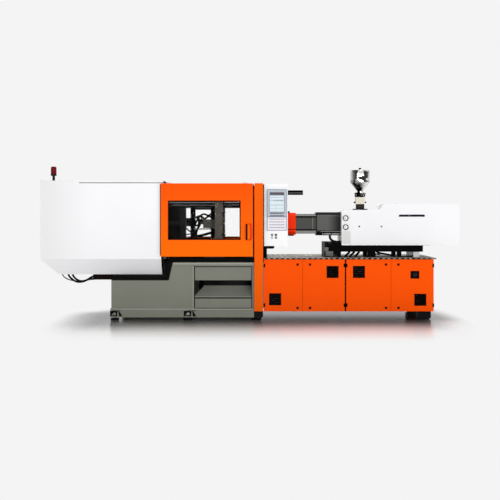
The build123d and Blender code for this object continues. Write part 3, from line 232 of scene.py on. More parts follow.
# %% A finished piece
ROUND_BELOW = math.radians(32)


def joined(*shapes):
    """Puts shapes together in one bmesh."""
    whole = bmesh.new()
    for shape in shapes:
        passing = bpy.data.meshes.new("passing")
        shape.to_mesh(passing)
        shape.free()
        whole.from_mesh(passing)
        bpy.data.meshes.remove(passing)
    return whole


def make_piece(name, shapes, finish, body):
    """Joins shapes, turns mm to metres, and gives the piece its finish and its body."""
    whole = joined(*shapes)
    bmesh.ops.scale(whole, vec=(MM, MM, MM), verts=whole.verts)
    mesh = bpy.data.meshes.new(name)
    whole.to_mesh(mesh)
    whole.free()
    mesh.shade_smooth()
    mesh.set_sharp_from_angle(angle=ROUND_BELOW)
    mesh.materials.append(finish)
    piece = bpy.data.objects.new(name, mesh)
    scene.collection.objects.link(piece)
    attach(piece, body)
    print(name, len(mesh.polygons), "faces")
    return piece


print("a step between faces is rounded below", round(math.degrees(ROUND_BELOW)), "degrees")

# %% [markdown]
# ## Bright steel
# Zinc-plated ferrules, nuts and unions are needed from the first piece on: a soft grey mirror whose
# roughness drifts with handling.


# %% Plated steel
def plated(name, colour, roughness):
    """Zinc-plated steel."""
    made, tree = new_material(name)
    place = add(tree, "TexCoord")["Object"]
    smear = add(tree, "TexNoise", {"Vector": place, "Scale": 30.0})["Fac"]
    links = {"Value": smear, "To Min": roughness * 0.8, "To Max": roughness * 1.3}
    surface(tree, place, linear(colour), add(tree, "MapRange", links)[0], metallic=1.0)
    return made


ferrule_steel = plated("zinc_plated_steel", "#a9abab", 0.3)
nut_steel = plated("dark_plated_steel", "#6c6d6b", 0.38)
bezel_chrome = plated("bright_chrome", "#d6d6d6", 0.14)
shutter_bronze = plated("bronze_shutter_plate", "#4a3f2a", 0.5)
print("plated steels ready")

# %% [markdown]
# ## Hydraulic hoses
# Three hoses feed the clamp cylinder. They hang from a shelf inside the white skirt, sag, and run
# into the low bed. The two thick ones are 26 mm wire-braided rubber and the thin one is a 14 mm
# return line. A hose could be a chain of rigid tubes, but a NURBS spline through a few control
# points falls into the same lazy curves as the real thing, so each hose is one spline.


# %% Hose rubber
def hose_rubber():
    """Braided rubber hose: matt black, with the pattern of the cloth that it was cured in.

    The real cloth's threads are 1 mm apart; they are drawn at 4 mm.
    """
    made, tree = new_material("wrapped_hose_rubber")
    place = add(tree, "TexCoord")["Object"]
    wrap = add(tree, "TexNoise", {"Vector": place, "Scale": 1 / (4 * MM)})["Fac"]
    dust = add(tree, "TexNoise", {"Vector": place, "Scale": 14.0, "Detail": 3.0})["Fac"]
    shade = add(tree, "MapRange", {"Value": dust, "To Min": 0.42, "To Max": 0.62})[0]
    relief = add(tree, "Bump", {"Height": wrap, "Strength": 0.4, "Distance": 0.4 * MM})[0]
    surface(tree, place, linear("#0d0d0e"), shade, relief, shine=0.08)
    return made


hose_black = hose_rubber()
print("hose rubber ready")


# %% A route for hoses and pipes
def route_curve(name, points, radius, rings, steps):
    """A NURBS curve led by its control points, with a round section."""
    curve = bpy.data.curves.new(name, "CURVE")
    curve.dimensions = "3D"
    spline = curve.splines.new("NURBS")
    spline.points.add(len(points) - 1)
    for point, at in zip(spline.points, points):
        point.co = (*at, 1)
    spline.order_u = 3
    spline.use_endpoint_u = True
    spline.resolution_u = steps
    curve.bevel_depth = radius
    curve.bevel_resolution = rings
    curve.use_fill_caps = True
    return curve


print("route helper ready")

# %% Hoses with their crimped ends
HOSE_END_X = -1821.3
HOSES = {
    "hose_1": (-330, 13, 746, [
        (-2437, 660), (-2437, 570), (-2372, 503), (-2310, 470), (-2235, 474), (-2165, 508),
        (-2080, 514), (-1985, 524), (-1886, 551), (HOSE_END_X, 551),
    ]),
    "hose_2": (-296, 13, 703, [
        (-2387, 660), (-2387, 572), (-2330, 503), (-2262, 476), (-2190, 492), (-2130, 535),
        (-2050, 562), (-1960, 552), (-1875, 554), (HOSE_END_X, 554),
    ]),
    "hose_3": (-355, 7, 803, [
        (-2511, 660), (-2511, 594), (-2480, 540), (-2425, 508), (-2362, 492), (-2298, 478),
        (-2232, 482), (-2168, 502), (-2100, 520), (-2020, 528), (-1940, 540), (-1865, 548),
        (HOSE_END_X, 548),
    ]),
}
FERRULE = 34


def ferrule(radius):
    """A steel sleeve pressed on the hose's end in three rings, as the crimping jaws leave it."""
    fit, wall = radius + 0.4, radius + 4.5
    steps = [(fit, 0), (wall - 1, 0), (wall, 2)]
    for height in (9, 17, 25):
        steps += [(wall, height - 1.5), (wall - 1.4, height), (wall, height + 1.5)]
    steps += [(wall, FERRULE - 2), (wall - 1, FERRULE), (fit, FERRULE)]
    return turned(steps, 20, closed=True)


for node, (y, radius, length, route) in HOSES.items():
    points = [(x * MM, y * MM, z * MM) for x, z in route]
    curve = route_curve(f"rubber_{node}", points, radius * MM, 5, 8)
    curve.materials.append(hose_black)
    rubber_hose = bpy.data.objects.new(f"rubber_{node}", curve)
    scene.collection.objects.link(rubber_hose)
    (x0, z0), (x1, z1) = route[0], route[-1]
    ends = [
        placed(ferrule(radius), (x0, y, z0 - FERRULE)),
        placed(ferrule(radius), (x1 - FERRULE, y, z1), "right"),
    ]
    sleeves = make_piece(f"{node}_ferrules", ends, ferrule_steel, "bed")
    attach(rubber_hose, "bed")
    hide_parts(node)
    print(node, "length", length, "mm")

# %% [markdown]
# ## Studio
# The backdrop is #f4f4f4 paper. Its tone is given to the camera and to what is seen through glass
# only, so that the lamps light the machine at a plain level and don't have to light the paper up to
# white. The room behind the photographer is dark, as it is in a real studio: polished steel shows
# that dark side with the softboxes as white streaks in it, and black paint stays black.

# %% Backdrop
PAPER = "#f4f4f4"
AMBIENT = 0.44
world = bpy.data.worlds.new("studio")
scene.world = world
world.use_nodes = True
sky = world.node_tree
sky.nodes.clear()
ray = add(sky, "LightPath")
rays = {0: ray["Is Camera Ray"], 1: ray["Is Transmission Ray"]}
seen = add(sky, "Math", rays, operation="MAXIMUM")[0]
toward = add(sky, "SeparateXYZ", {0: add(sky, "TexCoord")["Generated"]})[1]
links = {"Value": toward, "From Min": -0.3, "From Max": 0.6}
room_side = add(sky, "MapRange", links, interpolation_type="SMOOTHSTEP")[0]
room_tone = add(sky, "MapRange", {"Value": room_side, "To Min": 0.05, "To Max": 0.9})[0]
ambient = add(sky, "Background", {"Color": linear("#ffffff"), "Strength": AMBIENT})[0]
room = add(sky, "Background", {"Color": linear("#ffffff"), "Strength": room_tone})[0]
paper = add(sky, "Background", {"Color": linear(PAPER), "Strength": 1.0})[0]
unseen = add(sky, "MixShader", {0: ray["Is Glossy Ray"], 1: ambient, 2: room})[0]
everywhere = add(sky, "MixShader", {0: seen, 1: unseen, 2: paper})[0]
add(sky, "OutputWorld", {"Surface": everywhere})
print("backdrop", PAPER)

# %% Floor
FLOOR_REACH = 40.0
SHADOW_MIDDLE = (0.10, -0.45, 0)
SHADOW_HALF = (2.05, 0.25, 0)
SIDE_STEEPNESS = 3.2


def floor_paper():
    """Seamless paper, a little shiny, with a painted shadow darkest by the machine's front and
    under its base, and plain tone far off.
    """
    made, tree = new_material("floor_paper")
    place = add(tree, "TexCoord")["Object"]
    soft_step = {"interpolation_type": "SMOOTHSTEP"}
    offset = place
    for operation, other in (("SUBTRACT", SHADOW_MIDDLE), ("ABSOLUTE", (0, 0, 0)),
                             ("SUBTRACT", SHADOW_HALF), ("MAXIMUM", (0, 0, 0)),
                             ("MULTIPLY", (SIDE_STEEPNESS, 1, 0))):
        offset = add(tree, "VectorMath", {0: offset, 1: other}, operation=operation)[0]
    length = add(tree, "VectorMath", {0: offset}, operation="LENGTH")["Value"]
    far = add(tree, "MapRange", {"Value": length, "From Min": 0.9, "From Max": 2.1}, **soft_step)[0]
    # The shade and the contact tone below are painted shadow on the paper, darkest by the machine's
    # front and under its base.
    links = {"Value": length, "From Max": 1.35, "To Min": 0.16}
    shade = add(tree, "MapRange", links, **soft_step)[0]
    across, back, _ = add(tree, "SeparateXYZ", {0: place})
    under_base = add(tree, "MapRange", {"Value": across, "From Min": 0.1, "From Max": 0.3})[0]
    links = {"Value": back, "From Min": -0.85, "From Max": -0.4}
    behind = add(tree, "MapRange", links, **soft_step)[0]
    both_ways = add(tree, "Math", {0: behind, 1: under_base}, operation="MULTIPLY")[0]
    painted_contact_shadow = add(tree, "MapRange", {"Value": both_ways, "To Min": 1.0, "To Max": 0.25})[0]
    depth = add(tree, "Math", {0: shade, 1: painted_contact_shadow}, operation="MULTIPLY")[0]
    tone = add(tree, "VectorMath", {0: linear(PAPER)[:3], "Scale": depth}, operation="SCALE")[0]
    links = {"Base Color": tone, "Roughness": 0.22, "Specular IOR Level": 0.2}
    lit = add(tree, "BsdfPrincipled", links)[0]
    plain = add(tree, "Emission", {"Color": linear(PAPER), "Strength": 1.0})[0]
    whole = add(tree, "MixShader", {0: far, 1: lit, 2: plain})[0]
    add(tree, "OutputMaterial", {"Surface": whole})
    return made


floor_sheet = bmesh.new()
bmesh.ops.create_grid(floor_sheet, x_segments=8, y_segments=8, size=FLOOR_REACH)
floor_mesh = bpy.data.meshes.new("floor")
floor_sheet.to_mesh(floor_mesh)
floor_sheet.free()
floor_mesh.materials.append(floor_paper())
floor = bpy.data.objects.new("floor", floor_mesh)
scene.collection.objects.link(floor)
print("floor", 2 * FLOOR_REACH, "m")


# %% Lamps
def soft_light(name, place, target, size, power):
    """A large softbox at a place in metres, turned to a target."""
    data = bpy.data.lights.new(name, "AREA")
    data.shape = "RECTANGLE"
    data.size, data.size_y = size
    data.energy = power
    light = bpy.data.objects.new(name, data)
    scene.collection.objects.link(light)
    light.location = place
    aim = Vector(target) - Vector(place)
    light.rotation_euler = aim.to_track_quat("-Z", "Y").to_euler()


soft_light("key_softbox", (0.3, -11.0, 1.9), (0.1, 0.0, 1.0), (6.0, 3.0), 500)
soft_light("fill_softbox", (6.5, -10.0, 1.7), (0.6, 0.0, 0.9), (4.0, 2.6), 85)
soft_light("top_softbox", (0.0, 2.6, 7.5), (0.0, 0.0, 0.0), (8.0, 3.5), 420)
scene.view_settings.view_transform = "Standard"
print("lamps", len(bpy.data.lights))

# %% [markdown]
# ## Painted sheet and painted castings
# Covers and doors are folded steel sheet with a baked powder coat: even colour, a satin sheen and
# a faint orange peel that breaks up long reflections. The peel's real cells are 2 mm across; they
# are drawn at 9 mm so that they show from this distance. The bend radius of the sheet is too small
# to model on every fold, so the shader's own Bevel rounds the light over each edge.


# %% Paint
SHEET_BEND = 2.5


def paint(name, colour, zones=(), roughness=0.38, peel=9, peel_depth=0.12, drift=0.03, shine=0.12):
    """Powder coat or machine paint. peel is the grain in mm, drift the slow change of tone."""
    made, tree = new_material(name)
    place = add(tree, "TexCoord")["Object"]
    slow = add(tree, "TexNoise", {"Vector": place, "Scale": 1.7, "Detail": 3.0})["Fac"]
    links = {"Value": slow, "From Min": 0.3, "From Max": 0.7, "To Min": 1 - drift, "To Max": 1.0}
    tone = add(tree, "MapRange", links)[0]
    coat = add(tree, "VectorMath", {0: linear(colour)[:3], "Scale": tone}, operation="SCALE")[0]
    links = {"Value": slow, "To Min": roughness + 0.05, "To Max": roughness - 0.05}
    shade = add(tree, "MapRange", links)[0]
    grain = add(tree, "TexNoise", {"Vector": place, "Scale": 1 / (peel * MM), "Detail": 1.0})["Fac"]
    rounded = add(tree, "Bevel", {"Radius": SHEET_BEND * MM}, samples=4)[0]
    links = {"Height": grain, "Strength": peel_depth, "Distance": 0.6 * MM, "Normal": rounded}
    surface(tree, place, coat, shade, add(tree, "Bump", links)[0], shine, zones=zones)
    return made


WHITE = "#f3f3f5"
cover_white = paint("powder_coat_white", WHITE, roughness=0.42)
box_white = paint("control_box_white", "#f6f6f7", roughness=0.45)
block_red = paint("end_block_red_paint", "#ff3403", roughness=0.45, shine=0.03)
bracket_black = paint("bracket_black_paint", "#050505", roughness=0.4, shine=0.015)
tank_grey = paint("tank_grey_paint", "#80858a", roughness=0.5)
pump_blue = paint("pump_blue_grey_paint", "#4d5d68", roughness=0.45)
# Pale olive for the bed's flange strips: painted highlight where the flanges catch the light.
flange_highlight_olive = paint("flange_highlight_pale_olive", "#a3a598", roughness=0.45)
# Grey paint for pipes and joint lines, and paler grey strips that are painted highlight on the
# barrel covers' flanges.
grey_paint_and_highlight = paint("grey_paint_and_flange_highlight", "#868884", roughness=0.4)
valve_grey = paint("valve_grey_paint", "#70726f", roughness=0.42, shine=0.08)
gauge_case = paint("gauge_case_dark_paint", "#36393a", roughness=0.4, shine=0.08)
print("paints", len(bpy.data.materials))

# %% [markdown]
# Fittings and sheet are one CAD solid in places: black hinges, locks and grilles on the orange
# doors, plated hangers on the gates. Each lies past a plane that the sheet doesn't reach, so the
# limits of a zone on the machine separate the two finishes, and need no cut in the mesh. Other
# zones paint light and shade: a wide step between two colours is painted shade and reflection that
# change slowly across a face, and a narrow dark zone is painted shade in a gap, a recess or a
# corner.


# %% Orange sheet with its fittings
def orange(name, colour, zones=()):
    """The machine's orange powder coat."""
    return paint(name, colour, zones, roughness=0.45, shine=0.02)


GATES = ((-1, "front", "front_gate"), (1, "back", "rear_gate"))
# The gates' upper part is painted redder and darker: painted shade toward the top.
painted_shade_redder_top = ({"z": (1290, None, 900)}, "#fc5203")
plated_hangers = ({"z": (1758.5, None)}, "#d9d9d9")
door_fittings = ({"y": (None, -600.5)}, "#0d0807")
# The cabinet is painted near black between X 1180 and 1204, behind the gap between the middle
# doors: painted shade in that gap.
painted_shade_between_doors = ({"x": (1180, 1204)}, "#120505")
gate_orange = {
    gate: orange(f"{gate}_orange", "#ff6d02", [painted_shade_redder_top, plated_hangers]) for _, _, gate in GATES
}
column_orange = orange("column_orange", "#f45f04")
cabinet_orange = orange("cabinet_orange", "#fc5e02", [painted_shade_between_doors])
door_orange = orange("door_orange_with_black_fittings", "#fd5403", [door_fittings])
print("orange sheet", len(bpy.data.materials))

# %% White, grey and black paint with zones
# The clamp cover's left end is painted greyer: painted shade, as the light falls from the right.
painted_shade_left_end = ({"x": (None, -2380, 500)}, "#e6e6e7")
rail_along_cover = ({"x": (None, -1160), "z": (1500, None)}, WHITE)
rear_beam_feet = ({"x": (2040, None), "z": (None, 866)}, "#d4d5d6")
# The chute is painted near black above Z 419 and in its upper left corner: painted shade in the
# opening.
painted_shade_high_up = ({"z": (419, None, 6)}, "#070706")
painted_shade_in_corner = ({"lean": (-0.75, -0.975, -0.999)}, "#0b0b0a")
round_the_keys = ({"z": (None, 1331)}, "#e0dde3")
# The bed is painted near black under the white cover and inside the chute's bay: painted shade.
painted_shade_under_cover = ({"lean": (-0.234, -1.2015, -1.2025), "z": (511, None)}, "#090908")
painted_shade_chute_well = ({"x": (-752, -12), "y": (-585, 585), "z": (156, 703)}, "#070706")
foot_by_column = ({"x": (14, None), "z": (None, 118)}, "#0d0c0b")
clamp_white = paint("clamp_cover_white", WHITE, [painted_shade_left_end], roughness=0.42)
rail_black = paint(
    "beam_black_paint", "#050505", [rail_along_cover, rear_beam_feet], roughness=0.4, shine=0.015
)
chute_grey = paint(
    "chute_grey_paint", "#9a9c91", [painted_shade_in_corner, painted_shade_high_up], roughness=0.5, drift=0.1,
    shine=0.05,
)
panel_grey = paint(
    "panel_blue_grey", "#b3bcc4", [round_the_keys], roughness=0.4, peel=5.0, shine=0.06
)
bed_grey = paint(
    "bed_olive_grey_paint", "#818378", [painted_shade_under_cover, painted_shade_chute_well, foot_by_column], roughness=0.46,
    peel=14.0, peel_depth=0.25, drift=0.08, shine=0.05,
)


def shaded_heater_sheet(name, colour, middle, width):
    """Grey sheet over the heaters, painted darker toward the hopper: painted shade and painted
    reflection.
    """
    painted_dark_end = ({"x": (middle, None, width)}, "#11110f")
    return paint(name, colour, [painted_dark_end], roughness=0.36, peel_depth=0.08, shine=0.08)


barrel_grey = shaded_heater_sheet("barrel_cover_grey", "#474844", 848, 4)
rear_panel_grey = shaded_heater_sheet("rear_panel_grey", "#5a5b58", 1070, 140)
print("paints with zones", len(bpy.data.materials))

# %% [markdown]
# ## Metals
# The platens and links are ductile iron castings with their sand grain still there to feel: the
# platens under grey paint, the tail platen, crosshead and links drawn near black. Tie bars and rods
# are ground and chromed: a mirror with fine rings round it, given a near black colour as a painted
# reflection of the machine's dark inside. The hopper is polished stainless sheet, spun on a lathe,
# so its scratches run round it too, and its cone carries a painted reflection of the dark floor.


# %% Metals
def casting(name, colour, zones=()):
    """Painted cast iron; the sand grain of 1 mm is drawn at 6 mm, so that it shows."""
    made, tree = new_material(name)
    place = add(tree, "TexCoord")["Object"]
    links = {"Vector": place, "Scale": 1 / (6 * MM), "Detail": 4.0, "Roughness": 0.6}
    sand = add(tree, "TexNoise", links)["Fac"]
    stain = add(tree, "TexNoise", {"Vector": place, "Scale": 5.0, "Detail": 4.0})["Fac"]
    links = {"Value": stain, "From Min": 0.3, "From Max": 0.7, "To Min": 0.8, "To Max": 1.05}
    tone = add(tree, "MapRange", links)[0]
    coat = add(tree, "VectorMath", {0: linear(colour)[:3], "Scale": tone}, operation="SCALE")[0]
    rounded = add(tree, "Bevel", {"Radius": 3 * MM}, samples=4)[0]
    links = {"Height": sand, "Strength": 0.5, "Distance": 0.8 * MM, "Normal": rounded}
    surface(tree, place, coat, 0.55, add(tree, "Bump", links)[0], 0.08, zones=zones)
    return made


def metal(name, colour, roughness, axis, grooves=1.5, depth=0.15, dents=0.0, zones=()):
    """Bare metal with tool marks along an axis; dents gives thin sheet its slow waves.

    The real marks are 0.3 mm apart. grooves is how many mm apart they are drawn, so that they show.
    """
    made, tree = new_material(name)
    place = add(tree, "TexCoord")["Object"]
    stretch = [0.02, 0.02, 0.02]
    stretch[axis] = 1.0
    mapped = add(tree, "Mapping", {"Vector": place, "Scale": stretch})[0]
    marks = add(tree, "TexNoise", {"Vector": mapped, "Scale": 1 / (grooves * MM)})["Fac"]
    relief = add(tree, "Bump", {"Height": marks, "Strength": depth, "Distance": 0.2 * MM})[0]
    if dents:
        links = {"Vector": place, "Scale": 1 / (90 * MM), "Detail": 0.0}
        swell = add(tree, "TexNoise", links)["Fac"]
        links = {"Height": swell, "Strength": dents, "Distance": 60 * MM, "Normal": relief}
        relief = add(tree, "Bump", links)[0]
    smear = add(tree, "TexNoise", {"Vector": place, "Scale": 9.0})["Fac"]
    links = {"Value": smear, "To Min": roughness * 0.8, "To Max": roughness * 1.25}
    shade = add(tree, "MapRange", links)[0]
    surface(tree, place, linear(colour), shade, relief, metallic=1.0, zones=zones)
    return made


# The moving platen is drawn near black from X -392 on, over its mould face.
dark_mould_face = ({"x": (-392, None)}, "#0c0c0b")
# The hopper's cone is painted dark low down and on its left: a painted reflection of the dark
# floor.
painted_floor_reflection = ({"x": (None, 1462, 50), "z": (None, 1800, 90)}, "#171614")
black_knob = ({"z": (1957, None)}, "#0a0a0a")
platen_iron = casting("platen_cast_iron", "#504e48")
moving_iron = casting("moving_platen_cast_iron", "#55534c", [dark_mould_face])
link_iron = casting("link_black_iron", "#121212")
foot_iron = casting("foot_cast_iron", "#0f0f0f")
base_steel = casting("hopper_base_iron", "#25231f")
# The tie bars' and ejector rod's chrome has a near black colour: a painted reflection of the
# machine's dark inside.
dark_reflection_chrome = metal("chrome_bar_painted_dark_reflection", "#2b2c2d", 0.16, 0)
turned_steel = metal("turned_steel", "#a9a9a6", 0.32, 0, grooves=3.0, depth=0.3)
SPUN = {"grooves": 4.0, "depth": 0.1, "dents": 0.5}
hopper_steel = metal("polished_stainless", "#dcdcda", 0.08, 2, zones=[painted_floor_reflection], **SPUN)
lid_steel = metal("polished_stainless_lid", "#dcdcda", 0.08, 2, zones=[black_knob], **SPUN)
print("metals", len(bpy.data.materials))


# %% Tread plate
def chequer_plate():
    """Aluminium tread plate: raised bars that change direction from cell to cell.

    The real cells are 26 mm; they are drawn at 70 mm to show at this flat angle.
    """
    pitch, bar_half, bar_width = 70.0, 0.36, 0.13
    made, tree = new_material("aluminium_chequer_plate")
    place = add(tree, "TexCoord")["Object"]
    cells = add(tree, "VectorMath", {0: place, "Scale": 1 / (pitch * MM)}, operation="SCALE")[0]
    whole = add(tree, "VectorMath", {0: cells}, operation="FLOOR")[0]
    inside = add(tree, "VectorMath", {0: cells}, operation="FRACTION")[0]
    inside = add(tree, "VectorMath", {0: inside, 1: (0.5, 0.5, 0.5)}, operation="SUBTRACT")[0]
    column, row, _ = add(tree, "SeparateXYZ", {0: whole})
    right, back, _ = add(tree, "SeparateXYZ", {0: inside})
    total = add(tree, "Math", {0: column, 1: row}, operation="ADD")[0]
    odd = add(tree, "Math", {0: total, 1: 2.0}, operation="FLOORED_MODULO")[0]
    flip = add(tree, "MapRange", {"Value": odd, "To Min": -1.0, "To Max": 1.0})[0]
    crossed = add(tree, "Math", {0: back, 1: flip}, operation="MULTIPLY")[0]
    raised = 1.0
    for operation, half in (("ADD", bar_half), ("SUBTRACT", bar_width)):
        offset = add(tree, "Math", {0: right, 1: crossed}, operation=operation)[0]
        size = add(tree, "Math", {0: offset}, operation="ABSOLUTE")[0]
        foot = half * math.sqrt(2)
        links = {"Value": size, "From Min": foot, "From Max": foot * 0.55}
        wall = add(tree, "MapRange", links, interpolation_type="SMOOTHSTEP")[0]
        raised = add(tree, "Math", {0: raised, 1: wall}, operation="MULTIPLY")[0]
    tone = add(tree, "MapRange", {"Value": raised, "To Min": 0.42, "To Max": 1.5})[0]
    along = add(tree, "Mapping", {"Vector": place, "Scale": (1.0, 0.16, 1.0)})[0]
    boots = add(tree, "TexNoise", {"Vector": along, "Scale": 1 / (60 * MM), "Detail": 1.0})["Fac"]
    links = {"Value": boots, "From Min": 0.35, "From Max": 0.65, "To Min": 0.45, "To Max": 1.6}
    wear = add(tree, "MapRange", links)[0]
    bright = add(tree, "Math", {0: tone, 1: wear}, operation="MULTIPLY")[0]
    links = {0: linear("#a39a8b")[:3], "Scale": bright}
    worn = add(tree, "VectorMath", links, operation="SCALE")[0]
    relief = add(tree, "Bump", {"Height": raised, "Strength": 1.0, "Distance": 1.5 * MM})[0]
    surface(tree, place, worn, 0.42, relief, metallic=0.3)
    return made


deck_metal = chequer_plate()
print("tread plate ready")

# %% [markdown]
# ## Plastics, glass and rubber
# The window is clear polycarbonate: almost invisible straight on, grey at its edges. It is drawn
# as a thin film of gloss over a clear gap, because true refraction through a flat pane only adds
# noise. The beacon's lens is dyed acrylic, and the sight section of the hopper has yellowed.


# %% Plastics, glass and rubber
def plastic(name, colour, roughness=0.35, grain=1.2, depth=0.2, shine=0.1):
    """Moulded plastic with a spark-eroded texture: 0.1 mm on the real one, drawn at grain mm."""
    made, tree = new_material(name)
    place = add(tree, "TexCoord")["Object"]
    spark = add(tree, "TexNoise", {"Vector": place, "Scale": 1 / (grain * MM)})["Fac"]
    relief = add(tree, "Bump", {"Height": spark, "Strength": depth, "Distance": 0.15 * MM})[0]
    surface(tree, place, linear(colour), roughness, relief, shine)
    return made


def clear(name, colour, gloss, density):
    """A thin clear sheet: mostly see-through, tinted by density, with a film of gloss."""
    made, tree = new_material(name)
    fresnel = add(tree, "Fresnel", {"IOR": 1.5})[0]
    tint = add(tree, "BsdfTransparent", {"Color": linear(colour)})[0]
    film = add(tree, "BsdfGlossy", {"Color": linear("#ffffff"), "Roughness": 0.03})[0]
    body = add(tree, "BsdfDiffuse", {"Color": linear(colour)})[0]
    inner = add(tree, "MixShader", {0: density, 1: tint, 2: body})[0]
    strength = {0: fresnel, 1: gloss * 10}
    amount = add(tree, "Math", strength, operation="MULTIPLY", use_clamp=True)[0]
    whole = add(tree, "MixShader", {0: amount, 1: inner, 2: film})[0]
    add(tree, "OutputMaterial", {"Surface": whole})
    return made


window_clear = clear("polycarbonate_window", "#ffffff", gloss=0.001, density=0.0)
sight_clear = clear("sight_acrylic", "#e6e1cf", gloss=0.03, density=0.8)
lens_red = plastic("beacon_red_acrylic", "#6a0716", roughness=0.12, depth=0.0)
black_plastic = plastic("black_plastic", "#121212", roughness=0.4)
dark_fitting = plastic("dark_fitting", "#0f0a09", roughness=0.5, shine=0.04)
rubber = plastic("black_rubber", "#101010", roughness=0.6, grain=3.0)
# Black rubber for gaskets and nosing, also for strips that are painted shade in gaps.
rubber_and_shade_black = plastic("black_gasket_rubber_and_shade", "#120807", roughness=0.6, grain=3.0, shine=0.04)
# Dark maroon for the strip on the gate's far edge: painted shade.
shade_maroon = plastic("shade_dark_maroon", "#3a0703", roughness=0.5, shine=0.04)
cap_grey = plastic("cap_grey", "#6d7270")
cap_black = plastic("cap_black", "#151515")
cap_pale = plastic("cap_pale", "#c9cfcb")
gear_plastic = plastic("switchgear_grey", "#b4b6b5", roughness=0.5)
grip_black = plastic("grip_black_nylon", "#120c0b", roughness=0.45, shine=0.05)
# Red for the bow that draws the gate handle's shadow: painted shadow.
shadow_bow_red = plastic("bow_red_painted_shadow", "#e8200a", roughness=0.3)
screw_black = plastic("blackened_steel", "#111111", roughness=0.38, shine=0.06)
lock_maroon = plastic("lock_dark_zinc", "#1c0906", roughness=0.4, shine=0.04)
# Black for screws, and for strips and stiffeners that are painted shade in gaps, seams and corners.
shade_and_screw_black = plastic("shadow_and_screw_black", "#080808", roughness=0.6, shine=0.03)
conduit_grey = plastic("conduit_pale_grey", "#a7a9a8", roughness=0.45)
pipe_black = plastic("pipe_black_paint", "#0a0a0a", roughness=0.35, shine=0.06)
access_grey = plastic("access_pale_grey", "#dcdcda", roughness=0.5)
print("plastics", len(bpy.data.materials))

# %% Plastics and prints of the panel and the gauges
header_plum = plastic("header_dark_plum", "#57505b", roughness=0.3, shine=0.05)
bezel_blue = plastic("bezel_grey_blue", "#8b97a8", shine=0.06)
frame_slate = plastic("panel_frame_slate", "#8591a3", roughness=0.4, shine=0.05)
keypad_blue = plastic("membrane_pale_grey", "#e6e3e8", roughness=0.4)
key_lilac = plastic("key_lilac_grey", "#a3a1b0", roughness=0.4)
key_pale = plastic("key_pale_grey", "#e3e6e6")
screen_pale = plastic("screen_pale_page", "#d2dde5", roughness=0.25, depth=0.0)
screen_ink = plastic("printed_grey_ink", "#7d888a", roughness=0.5, depth=0.0)
screen_glass = plastic("screen_grey_glass", "#b9c6cf", roughness=0.15, depth=0.0)
dial_ink = plastic("dial_black_ink", "#1c1f20", roughness=0.5, depth=0.0)
dial_white = plastic("dial_white_enamel", "#f1f1ee", roughness=0.3, depth=0.0)
stroke_navy = plastic("stroke_window_navy", "#141a2a", roughness=0.12, depth=0.0)
print("materials", len(bpy.data.materials))

# %% [markdown]
# ## Finishes for the CAD solids
# Each CAD node keeps its shape and gets the finish of the real piece.

# %% Give the CAD nodes their finishes
FINISHES = {
    cover_white: "injection_cover",
    clamp_white: "clamp_cover",
    box_white: "control_box",
    panel_grey: "control_panel",
    gate_orange["front_gate"]: "front_gate",
    gate_orange["rear_gate"]: "rear_gate",
    column_orange: "column_covers",
    cabinet_orange: "base_cabinet",
    door_orange: "door_1 door_2 door_3 door_4",
    bed_grey: "clamp_bed",
    chute_grey: "drop_chute",
    foot_iron: "levelling_feet",
    rail_black: "guide_rails",
    bracket_black: "panel_bracket",
    platen_iron: "fixed_platen feed_housing drive_plate",
    moving_iron: "moving_platen",
    link_iron: "tail_platen crosshead upper_rear_link lower_rear_link upper_front_link "
    "lower_front_link upper_short_link lower_short_link",
    dark_reflection_chrome: "tie_bars ejector_rod",
    turned_steel: "barrel screw",
    shutter_bronze: "hopper_shutter",
    hopper_steel: "hopper_bowl",
    lid_steel: "hopper_lid",
    base_steel: "hopper_base",
    gauge_case: "pressure_gauges",
    deck_metal: "deck_plate",
    window_clear: "front_window rear_window",
    sight_clear: "sight_glass",
    lens_red: "beacon_lens",
    black_plastic: "beacon_post switch_knob needle_lower needle_upper",
    rubber: "hose_1 hose_2 hose_3",
    cap_grey: "button_1 button_4",
    cap_black: "button_2",
    cap_pale: "button_3",
    screen_glass: "panel_screen",
    gear_plastic: "switchgear",
    tank_grey: "oil_tank",
    pump_blue: "power_pack",
    block_red: "barrel_end_block",
    barrel_grey: "barrel_covers",
}
for finish, names in FINISHES.items():
    for name in names.split():
        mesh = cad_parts[name].data
        mesh.materials.clear()
        mesh.materials.append(finish)
bare = [name for name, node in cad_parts.items() if node.data.materials[0] not in FINISHES]
print("CAD nodes", len(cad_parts), "without a finish", bare)

# %% [markdown]
# ## Gate trim
# The sliding gate's window sits in a rubber gasket, and a hollow rubber strip on the gate's closing
# edge meets the column and stops fingers being caught. The gasket is a punched frame with rounded
# corners, raised a little above the sheet. The handle is a moulded D on the gate with a black cheek
# on the side that the fingers hold. A red bow, a bent round bar on the closing side, draws the red
# arc of the handle's shadow on the orange sheet: painted shadow.


# %% Frames cut from sheet
def flat_sheet(x, y):
    """One face between pairs of limits in mm."""
    shape = bmesh.new()
    bmesh.ops.create_grid(shape, x_segments=1, y_segments=1, size=0.5)
    bmesh.ops.scale(shape, vec=(x[1] - x[0], y[1] - y[0], 1), verts=shape.verts)
    bmesh.ops.translate(shape, vec=(sum(x) / 2, sum(y) / 2, 0), verts=shape.verts)
    return shape


def raise_sheet(shape, depth):
    """Gives flat faces their thickness."""
    raised = bmesh.ops.extrude_face_region(shape, geom=shape.faces[:])["geom"]
    upper = [v for v in raised if isinstance(v, bmesh.types.BMVert)]
    bmesh.ops.translate(shape, vec=(0, 0, depth), verts=upper)


def round_corners(shape, depth, radius, segments):
    """Rounds the upright edges of a flat shape."""
    upright = [e for e in shape.edges if abs(e.verts[0].co.z - e.verts[1].co.z) > depth / 2]
    return round_edges(shape, upright, radius, segments)


